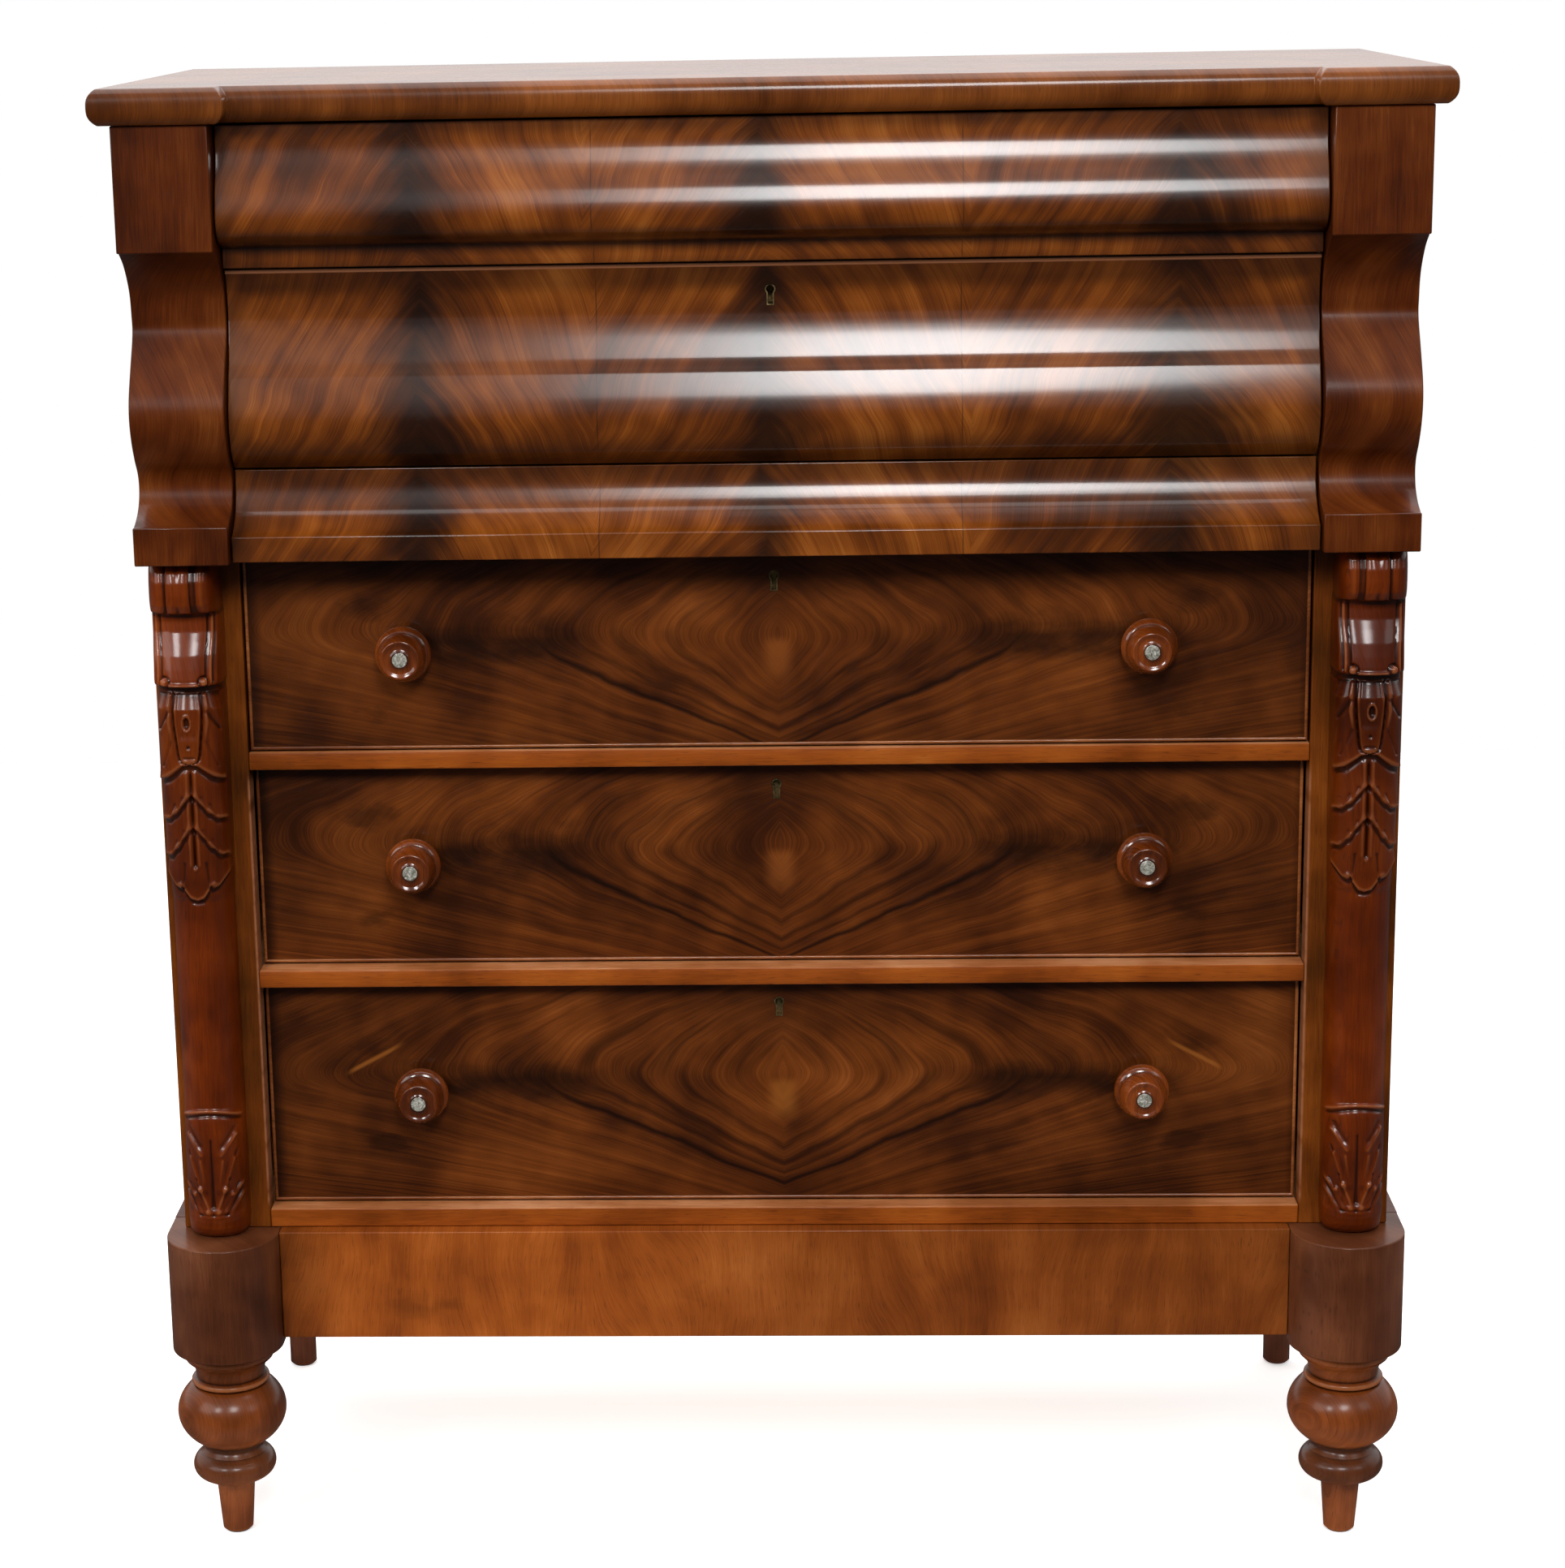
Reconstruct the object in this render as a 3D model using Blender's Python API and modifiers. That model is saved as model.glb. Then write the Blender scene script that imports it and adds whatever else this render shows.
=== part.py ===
"""Scotch chest: a tall mahogany chest of drawers on turned feet.

Three shaped drawers hang between ogee trusses under a breakfront top, and three long drawers with
turned knobs sit between carved pilasters below. Metres, +Z up, the front faces -Y, and the origin
is on the floor under the middle of the top.
"""

import math
from collections import namedtuple

import bmesh
import bpy
from mathutils import Matrix, Vector

# Clearances
SEAT_GAP = 0.0003            # between pieces that touch or rest on each other
DRAWER_CLEARANCE = 0.0018    # above and below a drawer front in its opening
SIDE_CLEARANCE = 0.0020      # between a drawer and the stile or truss beside it
REAR_CLEARANCE = 0.0100      # behind a closed drawer
LIP_GAP = 0.0020             # visible line between shaped fronts, and under the top
BACK_GROOVE = 0.0020         # width and depth of the joints between the back boards

# Case
CASE_WIDTH = 1.2030
CASE_DEPTH = 0.4280
SIDE_THICKNESS = 0.0200
STILE_WIDTH = 0.0870
STILE_THICKNESS = 0.0240
BACK_THICKNESS = 0.0100
BACK_BOARD_COUNT = 7
RAIL_HEIGHT = 0.0175
RAIL_DEPTH = 0.0600
BOTTOM_RAIL_HEIGHT = 0.0193
RUNNER_REACH = 0.0320        # how far a runner carries in from the stile's inner face
DUST_PANEL_THICKNESS = 0.0070
GUIDE_HEIGHT = 0.0140

# Drawer openings, from the floor up
LOWER_OPENING = 0.2326
MIDDLE_OPENING = 0.2046
UPPER_OPENING = 0.1930
SHALLOW_OPENING = 0.0638
HAT_OPENING = 0.1715
FRIEZE_OPENING = 0.1270

# How far each long drawer is pushed in behind the case front, as worn stops leave it
LOWER_RECESS = 0.0190
MIDDLE_RECESS = 0.0220
UPPER_RECESS = 0.0030

# Top slab
SLAB_THICKNESS = 0.0335
SLAB_NOSE = 0.0068           # how far the rounded edge swells out
SLAB_END_OVERHANG = 0.0185
SLAB_FRONT_OVERHANG = 0.0880
SLAB_BACK_OVERHANG = 0.0030
SLAB_NOSE_STEPS = 8
SLAB_CORNER_WIDTH = 0.1254
SLAB_BREAK = 0.0240          # how far the middle of the front is set back

# Plinth and feet
FRONT_FOOT_HEIGHT = 0.2018
PLINTH_BLOCK_HEIGHT = 0.1204
PLINTH_BLOCK_RADIUS = 0.0562
PLINTH_BOARD_HEIGHT = 0.1130
PLINTH_BOARD_THICKNESS = 0.0200
PLINTH_BOARD_FORWARD = 0.0150
PLINTH_BLOCK_DEPTH = 0.0420  # from the middle of the round front to the block's back
PLINTH_END_OVERHANG = 0.0157
PLINTH_AXIS_FORWARD = 0.0125
PLINTH_RETURN_THICKNESS = 0.0300
REAR_BLOCK_WIDTH = 0.0880    # corner block over a rear foot
REAR_BLOCK_DEPTH = 0.0420
REAR_FOOT_INSET = 0.0475     # from the case side to the rear foot's centre
REAR_FOOT_RADIUS = 0.0165
REAR_FOOT_TIP_RADIUS = 0.0148
FOOT_COLLAR_RADIUS = 0.0455
FOOT_COLLAR_HEIGHT = 0.0110
FOOT_BEAD_RADIUS = 0.0045
FOOT_BEAD_DROP = 0.0345
FOOT_NECK_RADIUS = 0.0340
FOOT_BUN_RADIUS = 0.0548
FOOT_BUN_HALF_HEIGHT = 0.0420
FOOT_BUN_DROP = 0.0683       # from the foot's top to the bun's middle
FOOT_WAIST_RADIUS = 0.0290
FOOT_RING_RADIUS = 0.0419
FOOT_RING_HALF_HEIGHT = 0.0135
FOOT_RING_DROP = 0.1273
FOOT_LEG_RADIUS = 0.0196
FOOT_TIP_RADIUS = 0.0153
FOOT_TIP_CHAMFER = 0.0030

# Trusses and pilasters
TRUSS_WIDTH = 0.0895
TRUSS_LIFT = 0.0053          # underside above the rail over the upper long drawer
TRUSS_CAP_HEIGHT = 0.1165
TRUSS_CAP_FORWARD = 0.0755
TRUSS_BASE_HEIGHT = 0.0365
TRUSS_BASE_FORWARD = 0.0720
PILASTER_WIDTH = 0.0610
PILASTER_INSET = 0.0370      # from the case side to the pilaster's centre line
PILASTER_SHAFT_DEPTH = 0.0340
PILASTER_SCROLL_DEPTH = 0.0610
PILASTER_SCROLL_HEIGHT = 0.0500
PILASTER_SHIELD_HEIGHT = 0.0795
PILASTER_LEAF_HEIGHT = 0.2077
PILASTER_FAN_HEIGHT = 0.1351
PILASTER_TOE_HEIGHT = 0.0200
PILASTER_TOE_TAPER = 0.0040  # how much the toe draws in on each side at the bottom
PILASTER_LEAF_SPREAD = 0.0035  # how much wider each carved part is, on each side
PILASTER_SHIELD_SPREAD = 0.0040
PILASTER_SCROLL_SPREAD = 0.0020
PILASTER_EDGE = 0.0120       # over which the scroll and the fan round off
PILASTER_FAN_SWELL = 0.0070  # extra depth of each carved part over the plain shaft
PILASTER_LEAF_SWELL = 0.0080
PILASTER_LIP_SWELL = 0.0180  # at the flared lower lip of the shield
PILASTER_SHIELD_SWELL = 0.0125
PILASTER_SHIELD_WAIST = 0.0088
PILASTER_SQUARENESS = 0.42   # 0 is a half-round section, 1 is square
PILASTER_RIB_DEPTH = 0.12    # shares of the section's depth
PILASTER_REED_DEPTH = 0.22
PILASTER_RIBS = 5
PILASTER_REEDS = 3
PILASTER_STEPS = 24

# Drawer boxes
FRONT_THICKNESS = 0.0200
BEAD_WIDTH = 0.0035
BEAD_RISE = 0.0016
TONGUE_DEPTH = 0.0180        # rebated back of a shaped front, inside its opening
SKIRT_DROP = 0.0112          # how far the lowest shaped front hangs below its opening
BOX_SIDE_THICKNESS = 0.0100
BOX_BACK_THICKNESS = 0.0100
BOX_BACK_DROP = 0.0060
BOX_BACK_INSET = 0.0030      # from the rear ends of the sides to the back
BOX_BOTTOM_THICKNESS = 0.0060
BOX_BOTTOM_RISE = 0.0100
GROOVE_DEPTH = 0.0040

# Knobs, keyholes and locks
KNOB_INSET = 0.1565          # from the side of the opening to the knob's centre
KNOB_LENGTH = 0.0455
KNOB_RADIUS = 0.0290
KNOB_NECK_RADIUS = 0.0115
KNOB_LIFT = 0.0025           # above the middle of the opening
PEARL_RADIUS = 0.0070        # flat disc in the middle of the knob's face
PEARL_GROOVE = 0.0010        # groove that sets the disc off
KEYHOLE_DROP = 0.0287        # below the top of the opening
HAT_KEYHOLE_DROP = 0.0232
KEYHOLE_RADIUS = 0.0039
KEYHOLE_SLOT = 0.0046
KEYHOLE_HEIGHT = 0.0178
KEYHOLE_DEPTH = 0.0015       # how far the keyhole goes into the lock itself
LINING_WALL = 0.0011
LINING_RECESS = 0.0008       # behind a curved face, so that no corner stands proud
LOCK_WIDTH = 0.0580
LOCK_HEIGHT = 0.0400
LOCK_THICKNESS = 0.0110
BOLT_WIDTH = 0.0280
BOLT_HEIGHT = 0.0200
BOLT_THICKNESS = 0.0055
BOLT_TRAVEL = 0.0080
BOLT_PLAY = 0.0004           # round the bolt in its slot and in the rail's mortise

# Facets of the turned and rounded pieces
BLOCK_FACETS = 14
FRONT_FOOT_FACETS = 20
REAR_FOOT_FACETS = 16
KNOB_FACETS = 18
KEYHOLE_FACETS = 10
CURVE_STEPS = 3              # between two points of a shaped outline

# Levels and planes worked out from the sizes above
PLINTH_TOP = FRONT_FOOT_HEIGHT + PLINTH_BLOCK_HEIGHT
SLAB_WIDTH = CASE_WIDTH + 2 * SLAB_END_OVERHANG
SLAB_DEPTH = SLAB_FRONT_OVERHANG + CASE_DEPTH + SLAB_BACK_OVERHANG
CASE_FRONT = SLAB_FRONT_OVERHANG - SLAB_DEPTH / 2
CASE_BACK = CASE_FRONT + CASE_DEPTH
CASE_SIDE = CASE_WIDTH / 2
OPENING_SIDE = CASE_SIDE - STILE_WIDTH
TRUSS_INNER = CASE_SIDE - TRUSS_WIDTH
BOX_REAR = CASE_BACK - BACK_THICKNESS - REAR_CLEARANCE
SIDE_SIGNS = {"left": -1, "right": 1}

OPENINGS = (
    ("lower", LOWER_OPENING),
    ("middle", MIDDLE_OPENING),
    ("upper", UPPER_OPENING),
    ("shallow", SHALLOW_OPENING),
    ("hat", HAT_OPENING),
    ("frieze", FRIEZE_OPENING),
)

# Outlines of the shaped pieces: how far each point stands in front of the case, and its share of
# the height, from the bottom up. Runs of points are joined by a smooth curve.
FRIEZE_BAND = ((0.0360, 0.0), (0.0365, 0.145))
FRIEZE_SWELL = (
    (0.0420, 0.155), (0.0530, 0.185), (0.0625, 0.235), (0.0668, 0.295), (0.0680, 0.365), (0.0664, 0.443),
    (0.0633, 0.520), (0.0591, 0.597), (0.0548, 0.674), (0.0513, 0.750), (0.0490, 0.826), (0.0484, 0.900),
    (0.0484, 1.0),
)
HAT_SWELL = (
    (0.0265, 0.0), (0.0365, 0.055), (0.0440, 0.130), (0.0475, 0.225), (0.0455, 0.310), (0.0383, 0.440),
    (0.0356, 0.480), (0.0313, 0.530), (0.0267, 0.600), (0.0232, 0.660), (0.0206, 0.720), (0.0197, 0.770),
    (0.0210, 0.870), (0.0285, 1.0),
)
SHALLOW_BAND = ((0.0620, 0.0), (0.0620, 0.290))
SHALLOW_SWELL = (
    (0.0595, 0.300), (0.0550, 0.330), (0.0490, 0.380), (0.0425, 0.440), (0.0368, 0.500), (0.0325, 0.560),
    (0.0292, 0.640), (0.0266, 0.720), (0.0250, 0.800), (0.0243, 0.900), (0.0241, 1.0),
)
TRUSS_SWELL = (
    (0.0660, 0.0), (0.0470, 0.032), (0.0345, 0.075), (0.0298, 0.130), (0.0335, 0.180),
    (0.0443, 0.233), (0.0553, 0.310), (0.0600, 0.390), (0.0560, 0.470), (0.0410, 0.570),
    (0.0222, 0.685), (0.0212, 0.750), (0.0262, 0.846), (0.0450, 0.940), (0.0680, 1.0),
)
# Outline of a knob's head: shares of its radius and of its length, from the face back to the neck
KNOB_TURNING = (
    (0.448, 0.967), (0.569, 1.0), (0.655, 0.978), (0.810, 0.780), (0.879, 0.637), (0.862, 0.505),
    (0.972, 0.424), (1.0, 0.363), (0.959, 0.275), (0.724, 0.165),
)
KNOB_NECK_SHARE = 0.066

Drawer = namedtuple("Drawer", "name floor height half_width front_back top_lip bottom_lip")
Look = namedtuple("Look", "colour roughness metallic")
Section = namedtuple("Section", "level spread swell square reeds notch")

MAHOGANY = Look((0.230, 0.085, 0.038), 0.32, 0.0)
DARK_MAHOGANY = Look((0.150, 0.052, 0.026), 0.34, 0.0)
VENEER = Look((0.250, 0.100, 0.045), 0.26, 0.0)
RAIL_WOOD = Look((0.330, 0.140, 0.055), 0.42, 0.0)
FOOT_WOOD = Look((0.300, 0.125, 0.050), 0.35, 0.0)
PINE = Look((0.520, 0.370, 0.220), 0.70, 0.0)
BRASS = Look((0.550, 0.420, 0.200), 0.35, 1.0)
STEEL = Look((0.420, 0.410, 0.390), 0.40, 1.0)


def clear_scene():
    for scene_object in list(bpy.data.objects):
        bpy.data.objects.remove(scene_object, do_unlink=True)


def new_collection(name):
    collection = bpy.data.collections.new(name)
    bpy.context.scene.collection.children.link(collection)
    return collection


def finish(piece, look):
    """Give a piece its own material."""
    material = bpy.data.materials.new(piece.name + "_finish")
    material.use_nodes = True
    shader = material.node_tree.nodes["Principled BSDF"]
    shader.inputs["Base Color"].default_value = (*look.colour, 1.0)
    shader.inputs["Roughness"].default_value = look.roughness
    shader.inputs["Metallic"].default_value = look.metallic
    piece.data.materials.clear()
    piece.data.materials.append(material)


def add_piece(name, mesh, look, origin=(0, 0, 0), parent=None):
    """Put a mesh in the scene at a world place, riding on its parent if it has one."""
    piece = bpy.data.objects.new(name, mesh)
    chest.objects.link(piece)
    place = Vector(origin)
    if parent is not None:
        piece.parent = parent
        place = place - parent.location
    piece.location = place
    finish(piece, look)
    return piece


def box_mesh(size):
    shape = bmesh.new()
    bmesh.ops.create_cube(shape, size=1.0)
    bmesh.ops.scale(shape, vec=size, verts=shape.verts)
    mesh = bpy.data.meshes.new("box")
    shape.to_mesh(mesh)
    shape.free()
    return mesh


def box(name, low, high, look, parent=None):
    """A box between two world corners, with its origin at its middle."""
    low, high = Vector(low), Vector(high)
    return add_piece(name, box_mesh(high - low), look, (low + high) / 2, parent)


def flat_shape(outline, half_thickness):
    """Mesh of a filled outline drawn out along its own Z."""
    curve = bpy.data.curves.new("outline", "CURVE")
    curve.dimensions = "2D"
    curve.fill_mode = "BOTH"
    curve.extrude = half_thickness
    spline = curve.splines.new("POLY")
    spline.points.add(len(outline) - 1)
    for point, (across, up) in zip(spline.points, outline):
        point.co = (across, up, 0.0, 1.0)
    spline.use_cyclic_u = True
    holder = bpy.data.objects.new("outline", curve)
    bpy.context.scene.collection.objects.link(holder)
    graph = bpy.context.evaluated_depsgraph_get()
    mesh = bpy.data.meshes.new_from_object(holder.evaluated_get(graph))
    bpy.data.objects.remove(holder, do_unlink=True)
    bpy.data.curves.remove(curve)
    shape = bmesh.new()
    shape.from_mesh(mesh)
    bmesh.ops.remove_doubles(shape, verts=shape.verts, dist=0.00001)
    bmesh.ops.recalc_face_normals(shape, faces=shape.faces)
    shape.to_mesh(mesh)
    shape.free()
    return mesh


def stack_mesh(rings):
    """Loft through rings of points, all with the same count, closed at both ends."""
    shape = bmesh.new()
    loops = [[shape.verts.new(point) for point in ring] for ring in rings]
    count = len(loops[0])
    for lower, upper in zip(loops, loops[1:]):
        for index in range(count):
            after = (index + 1) % count
            shape.faces.new((lower[index], lower[after], upper[after], upper[index]))
    shape.faces.new(list(reversed(loops[0])))
    shape.faces.new(loops[-1])
    bmesh.ops.recalc_face_normals(shape, faces=shape.faces)
    mesh = bpy.data.meshes.new("loft")
    shape.to_mesh(mesh)
    shape.free()
    return mesh


# Turns that lay an outline's own axes along the world's: across, up and through
ALONG_X = Matrix(((0, 0, 1, 0), (1, 0, 0, 0), (0, 1, 0, 0), (0, 0, 0, 1)))
ALONG_Y = Matrix(((1, 0, 0, 0), (0, 0, -1, 0), (0, 1, 0, 0), (0, 0, 0, 1)))
ALONG_Z = Matrix.Identity(4)


def prism_mesh(outline, length, turn):
    """Mesh of an outline drawn out to a length, centred on its own plane."""
    mesh = flat_shape(outline, length / 2)
    mesh.transform(turn)
    return mesh


def joined_mesh(parts):
    """One mesh holding several separate solids, each given as a mesh and its place."""
    shape = bmesh.new()
    for mesh, place in parts:
        moved = mesh.copy()
        moved.transform(Matrix.Translation(place))
        shape.from_mesh(moved)
        bpy.data.meshes.remove(moved)
    result = bpy.data.meshes.new("joined")
    shape.to_mesh(result)
    shape.free()
    return result


def smooth_run(points):
    """Points along a smooth curve through the given points."""
    padded = [points[0], *points, points[-1]]
    run = []
    for before, start, end, after in zip(padded, padded[1:], padded[2:], padded[3:]):
        for step in range(CURVE_STEPS):
            share = step / CURVE_STEPS
            run.append(tuple(
                0.5 * (2 * b + (c - a) * share + (2 * a - 5 * b + 4 * c - d) * share ** 2
                       + (3 * b - a - 3 * c + d) * share ** 3)
                for a, b, c, d in zip(before, start, end, after)))
    run.append(points[-1])
    return run


def arc(centre, radii, start, end, steps):
    """Points on an ellipse from one angle to another, in degrees."""
    points = []
    for step in range(steps + 1):
        angle = math.radians(start + (end - start) * step / steps)
        points.append((centre[0] + radii[0] * math.cos(angle), centre[1] + radii[1] * math.sin(angle)))
    return points


def turned(name, profile, segments, look, origin, parent=None):
    """A turned piece: radius and height points, from the top of its axis down to the bottom."""
    shape = bmesh.new()
    verts = [shape.verts.new((radius, 0.0, height)) for radius, height in profile]
    for upper, lower in zip(verts, verts[1:]):
        shape.edges.new((upper, lower))
    mesh = bpy.data.meshes.new(name)
    shape.to_mesh(mesh)
    shape.free()
    piece = add_piece(name, mesh, look, origin, parent)
    screw = piece.modifiers.new("turning", "SCREW")
    screw.axis = "Z"
    screw.steps = segments
    screw.render_steps = segments
    screw.use_merge_vertices = True
    screw.merge_threshold = 0.00001
    screw.use_smooth_shade = True
    return piece


def combine(piece, name, mesh, place, operation):
    """Cut a mesh, put at a world place, out of a piece, or join it on."""
    tool = bpy.data.objects.new(name, mesh)
    cutters.objects.link(tool)
    tool.location = place
    tool.hide_render = True
    tool.display_type = "WIRE"
    modifier = piece.modifiers.new(name, "BOOLEAN")
    modifier.operation = operation
    modifier.solver = "EXACT"
    modifier.object = tool


def cut(piece, name, mesh, place):
    combine(piece, name, mesh, place, "DIFFERENCE")


def join(piece, name, mesh, place):
    combine(piece, name, mesh, place, "UNION")


def opening_floors():
    """Height of the floor of each drawer opening, and of the underside of the top."""
    floors = {}
    level = PLINTH_TOP + BOTTOM_RAIL_HEIGHT
    for name, height in OPENINGS:
        floors[name] = level
        level += height + RAIL_HEIGHT
    return floors, level - RAIL_HEIGHT


def slab_ring(inset, height):
    """Outline of the breakfront top, drawn in by an inset except at its square back."""
    half = SLAB_WIDTH / 2 - inset
    inner = SLAB_WIDTH / 2 - SLAB_CORNER_WIDTH + inset
    front, back = inset - SLAB_DEPTH / 2, SLAB_DEPTH / 2
    middle_front = front + SLAB_BREAK
    outline = (
        (-half, back), (-half, front), (-inner, front), (-inner, middle_front),
        (inner, middle_front), (inner, front), (half, front), (half, back),
    )
    return [(across, forward, height) for across, forward in outline]


def build_slab(underside):
    """Top with a shallow rounded edge on its front and ends."""
    rings = []
    for step in range(SLAB_NOSE_STEPS + 1):
        share = 2 * step / SLAB_NOSE_STEPS - 1
        rings.append(slab_ring(SLAB_NOSE * share ** 2, share * SLAB_THICKNESS / 2))
    add_piece("top_slab", stack_mesh(rings), MAHOGANY, (0, 0, underside + SLAB_THICKNESS / 2))


def build_case(underside):
    """Side panels, stiles and the back."""
    low, high = PLINTH_TOP + SEAT_GAP, underside - SEAT_GAP
    for side, sign in SIDE_SIGNS.items():
        outer, panel, stile = sign * CASE_SIDE, sign * (CASE_SIDE - SIDE_THICKNESS), sign * OPENING_SIDE
        box("stile_" + side, (min(outer, stile), CASE_FRONT, low),
            (max(outer, stile), CASE_FRONT + STILE_THICKNESS, high), MAHOGANY)
        box("side_panel_" + side, (min(outer, panel), CASE_FRONT + STILE_THICKNESS + SEAT_GAP, low),
            (max(outer, panel), CASE_BACK, high), MAHOGANY)
    inner = CASE_SIDE - SIDE_THICKNESS - SEAT_GAP
    half_depth, half_groove = BACK_THICKNESS / 2, BACK_GROOVE / 2
    outline = [(inner, -half_depth), (-inner, -half_depth), (-inner, half_depth)]
    for index in range(1, BACK_BOARD_COUNT):
        joint = inner * (2 * index / BACK_BOARD_COUNT - 1)
        outline += [(joint - half_groove, half_depth), (joint, half_depth - BACK_GROOVE),
                    (joint + half_groove, half_depth)]
    outline.append((inner, half_depth))
    add_piece("back_panel", prism_mesh(outline, high - low, ALONG_Z), PINE,
              (0, CASE_BACK - half_depth, (low + high) / 2))


def rail_corners(top, height):
    half = OPENING_SIDE - SEAT_GAP
    return (-half, CASE_FRONT, top - height), (half, CASE_FRONT + RAIL_DEPTH, top)


def build_rails(floors):
    """Front rails between the stiles, under the long drawers."""
    rails = {}
    for name in ("upper", "middle"):
        rails[name] = box(name + "_drawer_rail", *rail_corners(floors[name], RAIL_HEIGHT), RAIL_WOOD)
    box("bottom_rail", *rail_corners(floors["lower"], BOTTOM_RAIL_HEIGHT - SEAT_GAP), RAIL_WOOD)
    return rails


def guided_outline(thickness, middle_drop):
    """Section of a board with a raised guide at each end; its middle may be thinner."""
    outer = CASE_SIDE - SIDE_THICKNESS - SEAT_GAP
    runner = OPENING_SIDE - RUNNER_REACH
    outline = [(-outer, -thickness), (outer, -thickness), (outer, GUIDE_HEIGHT),
               (OPENING_SIDE, GUIDE_HEIGHT), (OPENING_SIDE, 0.0)]
    if middle_drop:
        outline += [(runner, 0.0), (runner, -middle_drop), (-runner, -middle_drop), (-runner, 0.0)]
    return outline + [(-OPENING_SIDE, 0.0), (-OPENING_SIDE, GUIDE_HEIGHT), (-outer, GUIDE_HEIGHT)]


def build_boards(floors):
    """Boards that the drawers run on: three behind rails, and three that show no rail."""
    end = CASE_BACK - BACK_THICKNESS - SEAT_GAP
    start = CASE_FRONT + RAIL_DEPTH + SEAT_GAP
    place = (start + end) / 2
    bottom = guided_outline(BOTTOM_RAIL_HEIGHT - SEAT_GAP, 0.0)
    add_piece("bottom_board", prism_mesh(bottom, end - start, ALONG_Y), PINE, (0, place, floors["lower"]))
    panel = guided_outline(RAIL_HEIGHT, RAIL_HEIGHT - DUST_PANEL_THICKNESS)
    for name in ("middle", "upper"):
        board = prism_mesh(panel, end - start, ALONG_Y)
        add_piece(name + "_dust_panel", board, PINE, (0, place, floors[name]))
    shelf = guided_outline(RAIL_HEIGHT, 0.0)
    place = (CASE_FRONT + end) / 2
    notch = 2 * (STILE_THICKNESS + SEAT_GAP)
    shelves = {}
    for name in ("shallow", "hat", "frieze"):
        board = add_piece(name + "_shelf", prism_mesh(shelf, end - CASE_FRONT, ALONG_Y), PINE,
                          (0, place, floors[name]))
        for side, sign in SIDE_SIGNS.items():
            middle = sign * (OPENING_SIDE - SEAT_GAP + STILE_WIDTH / 2)
            cut(board, "cut_" + name + "_" + side, box_mesh((STILE_WIDTH, notch, 4 * RAIL_HEIGHT)),
                (middle, CASE_FRONT, floors[name]))
        shelves[name] = board
    return shelves


def build_plinth():
    """Front board, half-round corner blocks, and returns with a block over each rear foot."""
    axis_x = CASE_SIDE + PLINTH_END_OVERHANG - PLINTH_BLOCK_RADIUS
    axis_y = CASE_FRONT - PLINTH_AXIS_FORWARD
    block_back = axis_y + PLINTH_BLOCK_DEPTH
    plan = arc((0, 0), (PLINTH_BLOCK_RADIUS, PLINTH_BLOCK_RADIUS), 180, 360, BLOCK_FACETS)
    plan += [(PLINTH_BLOCK_RADIUS, PLINTH_BLOCK_DEPTH), (-PLINTH_BLOCK_RADIUS, PLINTH_BLOCK_DEPTH)]
    bottom = PLINTH_TOP - PLINTH_BOARD_HEIGHT
    outer = CASE_SIDE + PLINTH_END_OVERHANG
    for side, sign in SIDE_SIGNS.items():
        add_piece("plinth_block_" + side, prism_mesh(plan, PLINTH_BLOCK_HEIGHT, ALONG_Z), DARK_MAHOGANY,
                  (sign * axis_x, axis_y, FRONT_FOOT_HEIGHT + PLINTH_BLOCK_HEIGHT / 2))
        front = block_back + SEAT_GAP
        inner, block = outer - PLINTH_RETURN_THICKNESS, outer - REAR_BLOCK_WIDTH
        corner = CASE_BACK - REAR_BLOCK_DEPTH
        outline = [
            (sign * outer, front), (sign * outer, CASE_BACK), (sign * block, CASE_BACK),
            (sign * block, corner), (sign * inner, corner), (sign * inner, front),
        ]
        add_piece("plinth_return_" + side, prism_mesh(outline, PLINTH_BOARD_HEIGHT, ALONG_Z), MAHOGANY,
                  (0, 0, bottom + PLINTH_BOARD_HEIGHT / 2))
    half = axis_x - PLINTH_BLOCK_RADIUS - SEAT_GAP
    board_front = CASE_FRONT - PLINTH_BOARD_FORWARD
    box("plinth_board", (-half, board_front, bottom),
        (half, board_front + PLINTH_BOARD_THICKNESS, PLINTH_TOP), VENEER)


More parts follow.
